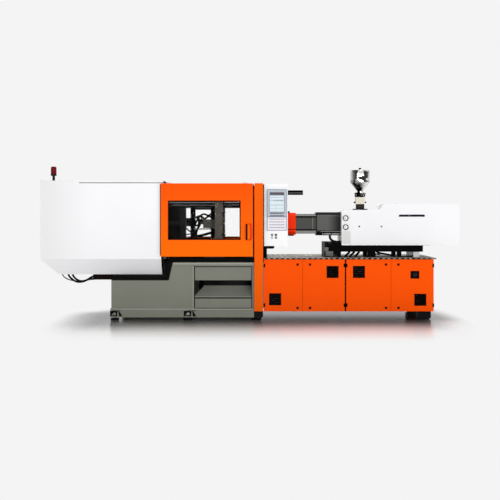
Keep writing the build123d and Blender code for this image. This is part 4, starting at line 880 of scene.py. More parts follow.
def punched_frame(width, height, rim, depth, corner, edge):
    """A flat frame: a sheet inset by its rim, its middle taken out, and the rest raised."""
    shape = flat_sheet((-width / 2, width / 2), (-height / 2, height / 2))
    middle = shape.faces[:]
    bmesh.ops.inset_region(
        shape, faces=middle, thickness=rim, use_even_offset=True, use_boundary=True
    )
    bmesh.ops.delete(shape, geom=middle, context="FACES_ONLY")
    raise_sheet(shape, depth)
    round_corners(shape, depth, corner, 5)
    bmesh.ops.recalc_face_normals(shape, faces=shape.faces)
    return soften(shape, edge, 2, 60)


print("frame helper ready")


# %% Pipes and both sides
def reach(side, near, far):
    """The Y limits of something that lies from near to far on one side of the machine."""
    return sorted((side * near, side * far))


def pipe(y, route, radius, rings=3):
    """A pipe that stays at one Y, led by (x, z) points in mm, as a mesh."""
    curve = route_curve("pipe_route", [(x, y, z) for x, z in route], radius, rings, 6)
    carrier = bpy.data.objects.new("pipe_route", curve)
    mesh = bpy.data.meshes.new_from_object(carrier)
    shape = bmesh.new()
    shape.from_mesh(mesh)
    bmesh.ops.remove_doubles(shape, verts=shape.verts, dist=0.01)
    bmesh.ops.recalc_face_normals(shape, faces=shape.faces)
    bpy.data.meshes.remove(mesh)
    bpy.data.objects.remove(carrier)
    bpy.data.curves.remove(curve)
    return shape


print("pipe helpers ready")

# %% Gaskets, closing seals and handles
GATE_FACE = 660
GATE_HEIGHT = (832, 1746)
WINDOW_LEFT, WINDOW_RIGHT, WINDOW_LOW, WINDOW_HIGH = -1081, -164, 1041, 1531
WINDOW_X = (WINDOW_LEFT + WINDOW_RIGHT) / 2
WINDOW_Z = (WINDOW_LOW + WINDOW_HIGH) / 2
GASKET_LIP = 7
GASKET_SIZE = (
    WINDOW_RIGHT - WINDOW_LEFT + 2 * GASKET_LIP, WINDOW_HIGH - WINDOW_LOW + 2 * GASKET_LIP
)
SHADOW_BOW = [
    (-52, 1236), (-36, 1236), (-26, 1222), (-26, 1170), (-26, 1100), (-26, 1048), (-36, 1036),
    (-52, 1036),
]
for side, facing, gate in GATES:
    gasket = punched_frame(*GASKET_SIZE, 2 * GASKET_LIP, 5, 6, 1.2)
    gasket = placed(gasket, (WINDOW_X, side * (GATE_FACE - 3), WINDOW_Z), facing)
    make_piece(f"{gate}_gasket", [gasket], rubber_and_shade_black, gate)
    seal = block((0.3, 14), reach(side, 632, 654), GATE_HEIGHT, 5, 3)
    make_piece(f"{gate}_closing_seal", [seal], rubber_and_shade_black, gate)
    grip = [block((-91, -68.2), reach(side, 679, 699), (1033, 1238), 4, 3)]
    for z in (1046, 1224):
        grip.append(block((-86, -68.2), reach(side, GATE_FACE, 682), (z - 11, z + 11), 3))
    make_piece(f"{gate}_grip", grip, grip_black, gate)
    # The red bow draws the handle's shadow on the orange sheet: painted shadow.
    shadow_bow = pipe(side * 689, SHADOW_BOW, 10.5)
    make_piece(f"{gate}_red_shadow_bow", [shadow_bow], shadow_bow_red, gate)

# %% [markdown]
# Dark strips also fill the gap behind the column and trail on the gate's far edge: painted shade,
# where that gap and that edge lie in shadow. Each is a strip with rounded edges, as cut from a
# coil.

# %% Column and trailing shade strips
column_shade_strip = block((131.4, 143.0), (-646, -601), (801, 1746), 3)
make_piece("column_gap_shade_strip", [column_shade_strip], rubber_and_shade_black, "bed")
for side, _, gate in GATES:
    trailing_shade = block((-1190, -1179.2), reach(side, 634, 656), GATE_HEIGHT, 3)
    make_piece(f"{gate}_trailing_shade_strip", [trailing_shade], shade_maroon, gate)

# %% [markdown]
# Small cap screws hold the window's clamping strips. They are painted over with the gate, so they
# are turned once in its own orange and set round the frame at a fixing pitch of about 150 mm.


# %% Window screws
def socket_screw(radius, head):
    """A cap screw with the well for its key."""
    well, floor_height, shoulder = radius * 0.5, head * 0.35, head * 0.85
    profile = [(0, 0), (radius, 0), (radius, shoulder), (radius * 0.9, head)]
    return turned(profile + [(well, head), (well, floor_height), (0, floor_height)], 20)


SCREW_GAP = 20
across = [WINDOW_LEFT + (WINDOW_RIGHT - WINDOW_LEFT) * k / 6 for k in range(7)]
up = [WINDOW_LOW + (WINDOW_HIGH - WINDOW_LOW) * k / 3 for k in (1, 2)]
spots = [(x, z) for x in across for z in (WINDOW_LOW - SCREW_GAP, WINDOW_HIGH + SCREW_GAP)]
spots += [(x, z) for x in (WINDOW_LEFT - SCREW_GAP, WINDOW_RIGHT + SCREW_GAP) for z in up]
for side, facing, gate in GATES:
    screws = [placed(socket_screw(4.5, 2.6), (x, side * GATE_FACE, z), facing) for x, z in spots]
    make_piece(f"{gate}_window_screws", screws, gate_orange[gate], gate)

# %% [markdown]
# ## Control panel
# The operator's panel has a dark header, a flat screen, two rows of dark soft keys under it and a
# membrane keypad: one printed polyester sheet with a blister over each key. The keys could be
# painted on, but raised blisters catch the light as real ones do, and they are all one cheap shape.


# %% Panel header and frames
def plate(width, height, depth, corner):
    """A plate lying flat, with its four upright edges rounded."""
    shape = block((-width / 2, width / 2), (-height / 2, height / 2), (0, depth))
    return round_corners(shape, depth, corner, 6)


PANEL_FACE, KEY_FACE = 650, 638
PANEL_X = 307.5
header = placed(plate(184, 34, 1.6, 3), (PANEL_X, -PANEL_FACE, 1627), "front")
make_piece("panel_header", [header], header_plum, "bed")
bezel = placed(punched_frame(198, 226, 5, 2.2, 4, 0.7), (PANEL_X, -PANEL_FACE + 0.5, 1495), "front")
make_piece("screen_bezel", [bezel], bezel_blue, "bed")
frames = [
    placed(punched_frame(253, 350, 7, 3, 4, 0.8), (PANEL_X, -PANEL_FACE + 1, 1506), "front"),
    placed(punched_frame(253, 177, 7, 3, 4, 0.8), (PANEL_X, -KEY_FACE + 1, 1241.5), "front"),
]
make_piece("panel_frames", frames, frame_slate, "bed")

# %% Screen page and soft keys
SOFT_KEY_Z = (1375, 1343)
PAGE, WORDS, RULES = (-649.7, -649), (-650, -649.4), (-649.9, -649.2)
rows = []
for z, height in ((1590, 16), (1562, 22), (1509, 44), (1460, 34), (1420, 28)):
    rows.append(block((219, 396), PAGE, (z - height / 2, z + height / 2)))
make_piece("screen_rows", rows, screen_pale, "bed")
words = ((262, 14), (284, 8), (298, 22), (326, 16), (348, 24), (378, 12))
lines = [block((x, x + width), WORDS, (1533, 1542)) for x, width in words]
ruled = (((222, 330), (1576, 1578)), ((226, 390), (1474, 1475.5)), ((300, 301.5), (1408, 1500)))
lines += [block(x, RULES, z) for x, z in ruled]
make_piece("screen_lines", lines, screen_ink, "bed")
key_strips, key_caps = [], []
for z in SOFT_KEY_Z:
    key_strips.append(block((PANEL_X - 90, PANEL_X + 90), (-651.4, -650), (z - 7, z + 7), 0.6))
    for k in range(8):
        x = 224 + 22.2 * k
        key_caps.append(block((x, x + 9), (-652.6, -651.2), (z - 3.5, z + 3.5), 0.5))
make_piece("soft_key_strips", key_strips, header_plum, "bed")
make_piece("soft_keys", key_caps, key_lilac, "bed")

# %% Membrane keypad
KEY_ROWS, KEY_COLUMNS = 4, 8
KEY_PITCH_X, KEY_PITCH_Z = 24.6, 36
keypad = placed(plate(206, 164, 1.2, 4), (PANEL_X, -KEY_FACE, 1243), "front")
make_piece("keypad_sheet", [keypad], keypad_blue, "bed")
key_depth = (-KEY_FACE - 2.6, -KEY_FACE - 1)
blisters = []
for row in range(KEY_ROWS):
    for column in range(KEY_COLUMNS):
        x = PANEL_X + (column - (KEY_COLUMNS - 1) / 2) * KEY_PITCH_X
        z = 1246 + (row - (KEY_ROWS - 1) / 2) * KEY_PITCH_Z
        blisters.append(block((x - 9.5, x + 9.5), key_depth, (z - 6.5, z + 6.5), 1.2, 1))
make_piece("keypad_blisters", blisters, key_lilac, "bed")

# %% [markdown]
# The four push buttons are caps in turned bezels on the control box. Each cap travels in its bezel,
# so the ring's hole is wider than the cap by a running gap of half a millimetre.

# %% Button bezels
BUTTON_HOLE = 12.5 + 0.5
BEZEL = [(BUTTON_HOLE, 0), (17.5, 0), (17.5, 1.5), (16, 4), (14, 4.6), (BUTTON_HOLE, 4)]
bezels = []
for x in (246, 297):
    for z in (1096, 1060):
        bezels.append(placed(turned(BEZEL, 32, closed=True), (x, -600, z), "front"))
make_piece("button_bezels", bezels, bezel_chrome, "bed")

# %% [markdown]
# The panel's arm is a black box section with a grey joint line along it, carried by a bracket that
# is folded from thick plate. Both are bars with rounded edges that sleeve the bent rods inside.

# %% Arm sleeve and bracket plates
arm = [block((449.5, 640), (-524, -486), (1617, 1664), 3)]
make_piece("arm_sleeve", arm, bracket_black, "bed")
joint_line = [block((452, 637), (-525.4, -524), (1636, 1641), 0.5, 1)]
make_piece("arm_joint_line", joint_line, grey_paint_and_highlight, "bed")
bracket = [
    block((144, 268), (-545, -465), (917, 952), 4),
    block((144, 182), (-542, -468), (801, 920), 4),
]
make_piece("bracket_plates", bracket, bracket_black, "bed")

# %% [markdown]
# ## Pressure gauges
# A gauge is a white enamelled dial with a printed scale under glass, in a dark painted case. The
# case and the needle are CAD; the dial is a thin disc and each graduation is a sliver laid on it,
# the tens longer than the units, over 270 degrees. Painted marks would blur at this size.


# %% Gauge dials and glass
def rotated(shape, angle, axis):
    """Turns a shape about an axis through the origin."""
    turn = Matrix.Rotation(angle, 3, axis)
    bmesh.ops.rotate(shape, cent=(0, 0, 0), matrix=turn, verts=shape.verts)
    return shape


GAUGE_X, GAUGE_FLOOR, GLASS_FLOOR = 1223, -311, -318.6
MARKS, MARK_ANGLE, FIRST_MARK = 28, 10, 135
DIAL = [(0, 0), (33.6, 0), (33.6, 0.15), (0, 0.15)]
RIM = [(27, 0.1), (33.7, 0.1), (33.7, 3.0), (31.5, 3.0), (27.6, 0.26), (27, 0.26)]
GLASS = [(0, 0), (33.8, 0), (33.8, 0.6), (30, 1.6), (0, 2.2)]
for name, z in (("lower", 1193), ("upper", 1311)):
    at = (GAUGE_X, GAUGE_FLOOR, z)
    dial = placed(turned(DIAL, 40), at, "front")
    make_piece(f"dial_{name}", [dial], dial_white, "carriage")
    rim = placed(turned(RIM, 40, closed=True), at, "front")
    make_piece(f"dial_rim_{name}", [rim], gauge_case, "carriage")
    marks = []
    for k in range(MARKS):
        half, start = (0.9, 20) if k % 3 == 0 else (0.45, 23)
        mark = block((-half, half), (start, 26.6), (0.14, 0.26))
        turn = math.radians(FIRST_MARK - MARK_ANGLE * k)
        marks.append(placed(rotated(mark, turn, "Z"), at, "front"))
    make_piece(f"dial_marks_{name}", marks, dial_ink, "carriage")
    glass = placed(turned(GLASS, 40), (GAUGE_X, GLASS_FLOOR, z), "front")
    make_piece(f"gauge_glass_{name}", [glass], window_clear, "carriage")

# %% [markdown]
# ## Injection unit
# On the white cover are the screws that hold it, a pale access panel at its front corner, and a
# window in which a pointer shows the screw's stroke against a steel rule. They are turned or
# punched flat, so each is one low shape on the cover's face.

# %% Cover screws, access panel and stroke window
SIDES = ((-1, "front"), (1, "back"))
COVER_FACE = 300
STROKE_LEFT, STROKE_RIGHT, STROKE_Z = 1926, 2268, 1344
RULE_STEP, RULE_FLOOR = 10, 1334
screws = []
for side, facing in SIDES:
    for x in (1404, 1697) if side < 0 else (1404, 1697, 2560):
        screws.append(placed(socket_screw(10, 4), (x, side * COVER_FACE, 1201), facing))
make_piece("cover_screws", screws, shade_and_screw_black, "carriage")
access = placed(plate(112, 168, 1.2, 4), (1234, -COVER_FACE, 1057), "front")
make_piece("access_panel", [access], access_grey, "carriage")
insert = plate(STROKE_RIGHT - STROKE_LEFT - 1, 29, 2, 14)
insert = placed(insert, ((STROKE_LEFT + STROKE_RIGHT) / 2, -COVER_FACE + 2.5, STROKE_Z), "front")
make_piece("stroke_window", [insert], stroke_navy, "carriage")
rule = [block((2060, 2063), (-300.2, -299.4), (RULE_FLOOR, 1354))]
for k in range(31):
    x, top = STROKE_LEFT + 16 + RULE_STEP * k, 1341 if k % 5 else 1345
    rule.append(block((x, x + 0.8), (-299.9, -299.4), (RULE_FLOOR, top)))
make_piece("stroke_rule", rule, key_pale, "carriage")

# %% [markdown]
# The barrel's heaters are under two boxes of folded sheet. Their top and bottom edges are folded
# out as flanges; the light on them is painted as paler grey strips and lines, and the shadow under
# them as black strips. The rear box swings up on two eyes. A ribbed conduit with the heater wires
# lies along its lower edge, held by saddles, and goes in under the cover. The conduit is turned as
# one long profile with a ridge every 12 mm.


# %% Strips and rings
def ring(outer, inner, depth, edge=0.0, steps=32):
    """A ring lying flat, turned from a closed profile."""
    section = [(inner, 0), (outer, 0), (outer, depth), (inner, depth)]
    shape = turned(section, steps, closed=True)
    return soften(shape, edge, 2, 60) if edge else shape


def strips(rows, sides=(-1, 1)):
    """Folded strips and their twins on the back. A row is x, z, the face, how proud, the edge."""
    made = []
    for x, z, face, proud, edge in rows:
        made += [block(x, reach(side, face, face + proud), z, edge, 1) for side in sides]
    return made


print("strip and ring helpers ready")

# %% Barrel cover trim
FRONT_FACE, REAR_FACE = 132, 155
FRONT_BOX = (575, 847)
# Paler grey strips are painted highlight on flanges and edges; black strips are painted shadow in
# the gaps.
COVER_STRIPS = {
    "front_cover_flange_highlights": (grey_paint_and_highlight, [
        (FRONT_BOX, (1339, 1362), FRONT_FACE, 6, 1.0),
        (FRONT_BOX, (1108, 1144), FRONT_FACE, 6, 1.0),
        ((797, 803), (1164, 1318), FRONT_FACE, 1.5, 0.4),
    ]),
    "cover_shadow_gaps": (shade_and_screw_black, [
        (FRONT_BOX, (1318, 1339), FRONT_FACE, 1.5, 0.4),
        (FRONT_BOX, (1144, 1164), FRONT_FACE, 1.5, 0.4),
        ((471, 573), (1156, 1166), 148, 0.8, 0.2),
    ]),
    "rear_cover_panels": (rear_panel_grey, [((858, 1183), (1147, 1356), REAR_FACE, 1.5, 0.6)]),
    "rear_cover_highlight_lines": (grey_paint_and_highlight, [
        ((866, 1150), (1340, 1344), REAR_FACE, 3, 1.0),
        ((905, 1185), (1128, 1137), REAR_FACE, 3, 1.0),
    ]),
}
for name, (finish, rows) in COVER_STRIPS.items():
    make_piece(name, strips(rows), finish, "carriage")
eyes = []
for side, facing in SIDES:
    for x, z in ((853, 1364), (904, 1112)):
        eyes.append(placed(ring(13, 5, 9, 1.5, 24), (x, side * REAR_FACE, z), facing))
make_piece("cover_eyes", eyes, screw_black, "carriage")

# %% Heater conduit and its saddles
RIB_PITCH, RIBS = 12, 20
CONDUIT_Y, CONDUIT_Z = -REAR_FACE - 14, 1100
conduit = [(0, 0), (9, 0)]
for k in range(RIBS):
    z = 6 + RIB_PITCH * k
    conduit += [(9, z), (12.5, z + 2), (12.5, z + 5), (9, z + 7)]
conduit += [(9, 250), (0, 250)]
conduit_tube = placed(turned(conduit, 14), (925, CONDUIT_Y, CONDUIT_Z), "right")
make_piece("heater_conduit", [conduit_tube], conduit_grey, "carriage")
saddles = []
for x in (940, 1040, 1150):
    saddles.append(placed(ring(16, 12.6, 10, 1, 20), (x, CONDUIT_Y, CONDUIT_Z), "right"))
    saddles.append(block((x, x + 10), (CONDUIT_Y - 2, -REAR_FACE), (1112, 1118), 1))
make_piece("conduit_saddles", saddles, screw_black, "carriage")
COOLING = [(1030, 1082), (1030, 1052), (1046, 1022), (1080, 1000), (1130, 992), (1174, 992)]
cooling = pipe(-120, COOLING, 16)
make_piece("cooling_pipe", [cooling], pipe_black, "carriage")

# %% [markdown]
# Under the injection unit's beams the machine is open: pipes slant down from the beams to the deck,
# the swivel block stands on the deck and a drain runs along it. They are steel pipes in black
# paint, bent round short radii, each a NURBS curve that starts in the beam and ends on the deck.

# %% Pipes, block and drain under the beams
BEAM_FLOOR, DECK = 868, 800
STAND_HEIGHT = BEAM_FLOOR - DECK
pipes = []
for x, top_x in ((1227, 1275), (1290, 1338), (1362, 1402)):
    upper = [(top_x + 8, BEAM_FLOOR + 1), (top_x, BEAM_FLOOR - 14)]
    pipes.append(pipe(-240, upper + [(x, DECK + 12), (x - 8, DECK)], 15, 2))
LONG_PIPE = [(1640, 869), (1652, 856), (1720, 842), (1810, 826), (1880, 812), (1902, DECK)]
pipes.append(pipe(-236, LONG_PIPE, 13))
make_piece("slanting_pipes", pipes, pipe_black, "bed")
swivel = [
    block((1515, 1562), (-262, -212), (DECK, BEAM_FLOOR), 3),
    block((1562, 1625), (-258, -214), (DECK, 828), 3),
    block((1600, 1690), (-250, -222), (826, 846), 3),
    block((1978, 2194), (-252, -226), (DECK, 812), 3),
    block((2110, 2186), (-256, -222), (810, 826), 4),
]
make_piece("swivel_block", swivel, pipe_black, "bed")
STAND = [
    (0, 0), (26, 0), (26, 8), (19, 12), (19, 56), (26, 60), (26, STAND_HEIGHT), (0, STAND_HEIGHT)
]
stand = placed(turned(STAND, 28), (1927, -240, DECK))
make_piece("stand_pipe", [stand], grey_paint_and_highlight, "bed")

# %% [markdown]
# The nose casting that carries the fixed end of the beams holds a valve block, a limit switch and
# two unions on the operator's side. The valve is a bar of grey iron with broken edges and turned
# ports, and the switch is a small black cylinder on a bracket.

# %% Nose fittings
NOSE_FACE = 250
VALVE_PORT = [(0, 0), (14, 0), (14, 7), (10, 9), (10, 20), (0, 20)]
SWITCH = [(0, 0), (15, 0), (17, 3), (17, 52), (14, 56), (7, 58), (7, 70), (0, 71)]
valve = [
    block((962, 1062), (-NOSE_FACE - 26, -NOSE_FACE), (812, 872), 3),
    block((948, 1000), (-NOSE_FACE - 18, -NOSE_FACE), (872, 925), 3),
]
for x in (985, 1035):
    valve.append(placed(turned(VALVE_PORT, 20), (x, -NOSE_FACE - 26, 842), "front"))
make_piece("nose_valve", valve, valve_grey, "bed")
switch = [
    placed(turned(SWITCH, 24), (966, -NOSE_FACE - 17, 930)),
    block((1000, 1040), (-NOSE_FACE - 14, -NOSE_FACE), (960, 990), 3),
]
make_piece("limit_switch", switch, screw_black, "bed")

# %% [markdown]
# ## Hopper fittings
# The hopper is polished steel on a sight glass. Clamp bands with wing nuts hold the neck to its
# flange, two black knobs on each side hold the sight glass, and the lid lifts by a black knob.
# Each is turned, and the wings are sawn plates set across the clamp.

# %% Clamp bands, wings and knobs
HOPPER_X, NECK = 1448, 50
KNOB = [(0, 0), (4, 0), (4, 6), (10, 8), (11.5, 11), (11.5, 16), (9, 20), (0, 21)]
LID_GRIP = [(12.4, 0), (12.4, 5), (17, 12), (19, 20), (17, 27), (12.4, 30)]
bands, knobs = [], []
for z, depth in ((1604, 9), (1626, 8)):
    bands.append(placed(ring(NECK + 7, NECK + 0.4, depth, 1.5, 40), (HOPPER_X, 0, z)))
for side, facing in ((-1, "left"), (1, "right")):
    lug = sorted(HOPPER_X + side * (NECK + out) for out in (4, 22))
    bands.append(block(lug, (-5, 5), (1600, 1634), 2))
    wing = plate(30, 12, 4, 4)
    bands.append(placed(wing, (HOPPER_X + side * (NECK + 14), -6, 1642), "front"))
    for y in (-38, 38):
        knobs.append(placed(turned(KNOB, 20), (HOPPER_X + side * 60, y, 1524), facing))
make_piece("neck_clamps", bands, screw_black, "carriage")
make_piece("sight_knobs", knobs, screw_black, "carriage")
lid_grip = placed(turned(LID_GRIP, 28, closed=True), (HOPPER_X, 0, 1957.5))
make_piece("lid_grip", [lid_grip], screw_black, "hopper_lid")

# %% [markdown]
# ## Base doors
# Every door has a black louvre whose blades slope out and down so that water runs off, and two
# quarter-turn locks. Each blade is a thin bar turned to its slope. The lock is a turned plug with a
# bar across it for the key. Hinge pins show as dark dots on the knuckles at the door's edge.

# %% Louvre blades, locks and hinge pins
DOOR_FACE = 600
DOORS = {
    "door_1": {"vent": (286.5, 268.5), "lock": 575.5, "pin": 144.5},
    "door_2": {"vent": (1025.5, 620), "lock": 734.5, "pin": 1181.5},
    "door_3": {"vent": (1364.5, 620), "lock": 1712.5, "pin": 1202.5},
    "door_4": {"vent": (2153.5, 262.5), "lock": 1871.5, "pin": 2324.5},
}
BLADES = 6
BLADE_PITCH = (154 - 18) / BLADES
BLADE_SLOPE = math.radians(32)
PLUG = [(0, 0), (11, 0), (11, 1.2), (9.5, 2.2), (4, 2.2), (4, 1.2), (0, 1.2)]
PIN = [(0, 0), (3.4, 0), (3.4, 1.4), (2.2, 2.4), (0, 2.6)]
for door, spot in DOORS.items():
    vent_x, vent_z = spot["vent"]
    blades, locks, pins = [], [], []
    for k in range(BLADES):
        blade = rotated(block((-59, 59), (-7, 7), (-0.9, 0.9), 0.5, 1), BLADE_SLOPE, "X")
        z = vent_z - 68 + BLADE_PITCH * (k + 0.62)
        blades.append(placed(blade, (vent_x, -DOOR_FACE - 5, z)))
    x = spot["lock"]
    for z in (158, 716):
        locks.append(placed(turned(PLUG, 24), (x, -DOOR_FACE - 5, z), "front"))
        key_bar = (-DOOR_FACE - 8.2, -DOOR_FACE - 7)
        locks.append(block((x - 8, x + 8), key_bar, (z - 1.6, z + 1.6), 0.4, 1))
    for z in (215.5, 725.5):
        pins.append(placed(turned(PIN, 16), (spot["pin"], -DOOR_FACE - 6, z)))
    make_piece(f"{door}_louvre", blades, dark_fitting, door)
    make_piece(f"{door}_locks", locks, lock_maroon, door)
    make_piece(f"{door}_hinge_pins", pins, lock_maroon, door)

# %% [markdown]
# A black strip in the gap between the two middle doors is painted shade, where that gap lies in
# shadow. A ribbed rubber nosing is clipped along the deck's front edge so that boots don't slip:
# its pads are one rounded bar, repeated at the pitch of the edge notches.

# %% Centre strip and deck nosing
centre_shade_strip = [block((1188.4, 1195.6), (-600, -586), (114, 778), 2)]
make_piece("door_gap_shade_strip", centre_shade_strip, rubber_and_shade_black, "bed")
PAD_PITCH = 70
pads = []
for x in range(152, 2320, PAD_PITCH):
    pads.append(block((x, x + 40), (-622.5, -620), (785.5, 799.8), 1, 1))
make_piece("deck_nosing", pads, rubber_and_shade_black, "bed")

# %% [markdown]
# ## Clamp bed
# The bed is welded box section. The shadow in its seams and at the edges of its recessed bay is
# painted as thin black strips, and the light that its top and bottom flanges catch is painted as
# thin pale strips on the faces. By each levelling foot a triangular stiffener, drawn in shadow
# black as painted shade, and a jacking screw are welded and bolted into the corner.

# %% Bed seams and flange edges
SKID_FACE, BED_FACE, BAY_FACE = 615, 600, 588
shadow_seams = strips([
    ((-760, -748), (152, 696), BED_FACE, 1.2, 0.4),
    ((-18, -10), (152, 692), BED_FACE, 1.2, 0.4),
])
bay_shadow_seams = ((277, 292), (150.5, 157), (682, 692.5))
shadow_seams += strips([((-746.5, -19.5), z, BAY_FACE, 1.2, 0.4) for z in bay_shadow_seams], sides=(-1,))
make_piece("bed_shadow_seams", shadow_seams, shade_and_screw_black, "bed")
flange_highlights = strips([
    ((-1026, 14), (716, 740), BED_FACE, 2.5, 0.4),
    ((-772, -761), (152, 692), BED_FACE, 2.0, 0.4),
    ((-1830, 14), (137, 149), SKID_FACE, 2.5, 0.4),
])
make_piece("bed_flange_highlights", flange_highlights, flange_highlight_olive, "bed")


# %% Foot stiffeners and jacking screws
def hex_bolt(across, head):
    """A hexagon head with its corners chamfered, on a washer."""
    bolt = bmesh.new()
    radius, washer = across / math.sqrt(3), 2
    bmesh.ops.create_cone(
        bolt, cap_ends=True, segments=6, radius1=radius, radius2=radius, depth=head
    )
    bmesh.ops.translate(bolt, vec=(0, 0, head / 2 + washer), verts=bolt.verts)
    soften(bolt, across * 0.06, 1)
    return joined(bolt, ring(across * 0.75, across * 0.3, washer + 0.2, steps=20))


def stiffener(x, y, z):
    """A plate with its far upper corner cut away to a triangle."""
    wedge = block(x, y, z)
    for corner in wedge.verts:
        if corner.co.x > x[1] - 1 and corner.co.z > z[1] - 1:
            corner.co.x = x[0] + 4
    return wedge


FOOT_Z = (52, 120)
JACK = [(0, 0), (7, 0), (7, 30), (0, 30)]
feet, jacks = [], []
for x in (-1788, -840):
    for side, facing in SIDES:
        y = reach(side, SKID_FACE - 6, SKID_FACE + 3)
        feet.append(block((x - 48, x + 46), y, FOOT_Z, 3))
        feet.append(stiffener((x + 66, x + 112), y, FOOT_Z))
        jacks.append(placed(hex_bolt(26, 12), (x + 10, side * (SKID_FACE + 3), 84), facing))
        jacks.append(placed(turned(JACK, 16), (x - 18, side * (SKID_FACE + 8), 56)))
# The stiffeners take the shadow black: painted shade where the gussets lie in shadow.
make_piece("foot_stiffeners", feet, shade_and_screw_black, "bed")
make_piece("jacking_screws", jacks, nut_steel, "bed")

# %% [markdown]
# ## Behind the window
# Through the gate's window one sees a black guard sheet at the far side, with openings for the
# setter's hands, and pipes for the ejector and the grease that cross those openings. The sheet is
# one flat face, sliced along the openings' edges, with the openings taken out and the rest raised.
# It stands on the bed, just inside the rear gate, so nothing that moves comes near it.


# %% Rear inner guard
def pierced_sheet(x, y, openings, depth):
    """A sheet between limits in mm, lying flat, with rectangular openings."""
    shape = flat_sheet(x, y)
    for x0, x1, y0, y1 in openings:
        for at, normal in (((x0, 0, 0), (1, 0, 0)), ((x1, 0, 0), (1, 0, 0)),
                           ((0, y0, 0), (0, 1, 0)), ((0, y1, 0), (0, 1, 0))):
            everything = shape.verts[:] + shape.edges[:] + shape.faces[:]
            bmesh.ops.bisect_plane(shape, geom=everything, plane_co=at, plane_no=normal)
    cut = []
    for face in shape.faces:
        middle = face.calc_center_median()
        if any(x0 < middle.x < x1 and y0 < middle.y < y1 for x0, x1, y0, y1 in openings):
            cut.append(face)
    bmesh.ops.delete(shape, geom=cut, context="FACES")
    raise_sheet(shape, depth)
    bmesh.ops.recalc_face_normals(shape, faces=shape.faces)
    return shape


GUARD_Y, GUARD_FOOT = 556, 740
OPENINGS = ((-968, -876, 1311, 1450), (-968, -876, 1029, 1194), (-804, -590, 1029, 1426))
sheet = pierced_sheet((-1215, -520), (GUARD_FOOT, 1560), OPENINGS, 3)
guard = [placed(sheet, (0, GUARD_Y + 3, 0), "front")]
for x in (-1120, -850, -620):
    guard.append(block((x, x + 30), (GUARD_Y - 24, GUARD_Y), (GUARD_FOOT, GUARD_FOOT + 5), 1))
make_piece("rear_inner_guard", guard, bracket_black, "bed")

# %% Ejector and grease pipes on the guard
PIPE_Y = GUARD_Y - 16
MANIFOLD_PORT = [(0, 0), (11, 0), (11, 9), (8, 11), (8, 26), (0, 26)]
ROUTES = (
    (13, [(-830, 1140), (-806, 1232), (-760, 1330), (-690, 1372), (-640, 1352), (-578, 1318)]),
    (15, [(-846, 1318), (-800, 1312), (-752, 1342), (-700, 1322), (-662, 1262), (-578, 1232)]),
    (14, [(-838, 1216), (-790, 1196), (-730, 1234), (-672, 1300), (-578, 1374)]),
    (19, [(-860, 1036), (-800, 1052), (-700, 1068), (-578, 1106)]),
    (17, [(-792, 1046), (-800, 1100), (-770, 1170), (-740, 1224)]),
    (10, [(-984, 1206), (-940, 1178), (-906, 1136), (-862, 1112)]),
    (9, [(-984, 1070), (-930, 1072), (-862, 1092)]),
)
GREASE = [(-830, 1158), (-700, 1154), (-578, 1158)]
fittings = [block((-772, -672), (GUARD_Y - 34, GUARD_Y), (1222, 1292), 6)]
fittings += [placed(turned(MANIFOLD_PORT, 16), (x, PIPE_Y, 1290)) for x in (-750, -722, -694)]
fittings += [pipe(PIPE_Y, route, radius) for radius, route in ROUTES]
make_piece("guard_pipes", fittings, pipe_black, "bed")
grease = [pipe(PIPE_Y - 20, GREASE, 8)]
grease += [block((x, x + 12), (PIPE_Y - 30, GUARD_Y), (1145, 1170), 2) for x in (-826, -596)]
make_piece("grease_pipe", grease, valve_grey, "bed")

# %% [markdown]
# ## Small covers round the clamp
# The slot in the white cover through which the gate's hangers run is closed by two white lips, and
# a black strip finishes the skirt's edge under the gate, along its slope and up its side.

# %% Slot lips and skirt edge
SLOT_X, SLOT_FACE = (-2229, -1150.5), 616.2
LIPS_Z = ((1758.4, 1763.4), (1770.6, 1775.6))
SKIRT_X = (-1177.5, -1149.6)
(LOW_Y, LOW_Z), (HIGH_Y, HIGH_Z) = (465, 581), (620, 788)
slope = math.atan2(HIGH_Y - LOW_Y, HIGH_Z - LOW_Z)
slant = math.hypot(HIGH_Y - LOW_Y, HIGH_Z - LOW_Z)
lips, edges = [], []
for side, _ in SIDES:
    lips += [block(SLOT_X, reach(side, SLOT_FACE, SLOT_FACE + 3.2), z) for z in LIPS_Z]
    strip = block(SKIRT_X, reach(side, 0.4, 3.4), (1, slant - 3), 1, 1)
    edges.append(placed(rotated(strip, -side * slope, "X"), (0, side * LOW_Y, LOW_Z)))
    edges.append(block(SKIRT_X, reach(side, 620.3, 623.3), (786, 818), 1, 1))
make_piece("slot_lips", lips, cover_white, "bed")
make_piece("skirt_edge_strip", edges, rubber_and_shade_black, "bed")

# %% [markdown]
# A folded black duct takes the hoses into the bed; its black also stands for the shadow under the
# white cover's overhang, as painted shade. It is a bar with its lower edges rounded, its ends taken
# off and its wall given thickness, which is how a sheet duct is folded. The red end block rests on
# shoes, which are plain bars with broken edges.

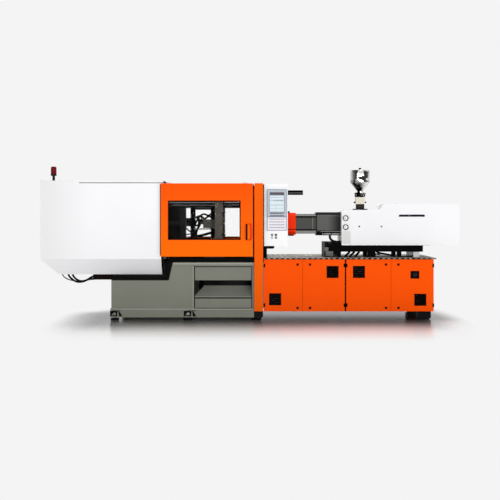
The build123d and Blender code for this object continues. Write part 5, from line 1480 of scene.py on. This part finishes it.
# %% Hose duct and end block shoes
DUCT_Y, DUCT_Z = (-378, -278), (506, 572)
duct = block((-2092, -1832.5), DUCT_Y, DUCT_Z)
low_edges = []
for edge in duct.edges:
    ends = [corner.co for corner in edge.verts]
    if all(end.z < DUCT_Z[0] + 1 for end in ends) and abs(ends[0].y - ends[1].y) > 50:
        low_edges.append(edge)
round_edges(duct, low_edges, 26, 5)
duct.normal_update()
open_ends = [face for face in duct.faces if abs(face.normal.x) > 0.9]
bmesh.ops.delete(duct, geom=open_ends, context="FACES_ONLY")
bmesh.ops.solidify(duct, geom=duct.faces[:], thickness=2.0)
bmesh.ops.recalc_face_normals(duct, faces=duct.faces)
make_piece("hose_duct", [duct], rubber_and_shade_black, "bed")
shoes = [
    block((473, 548), (-146, -70), (1074, 1087), 3),
    block((470.5, 494), (-120, -60), (1383, 1403), 3),
]
make_piece("end_block_shoe", shoes, bracket_black, "carriage")

# %% [markdown]
# ## Platens and beacon
# Big hexagon bolts hold the fixed platen and cap screws the moving one. They are made from a
# six-sided cone and a turned washer. The beacon's lens has moulded ribs that spread its light, so
# the ribs are turned as one profile round the CAD lens.

# %% Bolts on the platens
bolts = [placed(hex_bolt(30, 16), (x, y, 1595)) for x in (-50, 70) for y in (-330, 330)]
make_piece("fixed_platen_bolts", bolts, nut_steel, "bed")
spots = [(-381, y, z) for y in (-150, 150) for z in (1085, 1385)]
screws = [placed(socket_screw(11, 10), spot, "right") for spot in spots]
make_piece("moving_platen_screws", screws, screw_black, "moving_platen")

# %% Beacon lens ribs
LENS = 36
ribs = [(LENS - 2, 0), (LENS + 1.5, 0), (LENS + 1.5, 6)]
for z in range(8, 89, 9):
    ribs += [(LENS + 0.4, z), (LENS + 1.3, z + 3), (LENS + 1.3, z + 5), (LENS + 0.4, z + 8)]
ribs += [(LENS + 0.2, 92), (LENS - 2, 92)]
beacon_ribs = placed(turned(ribs, 40, closed=True), (-2625, -300, 1890))
make_piece("beacon_ribs", [beacon_ribs], lens_red, "bed")
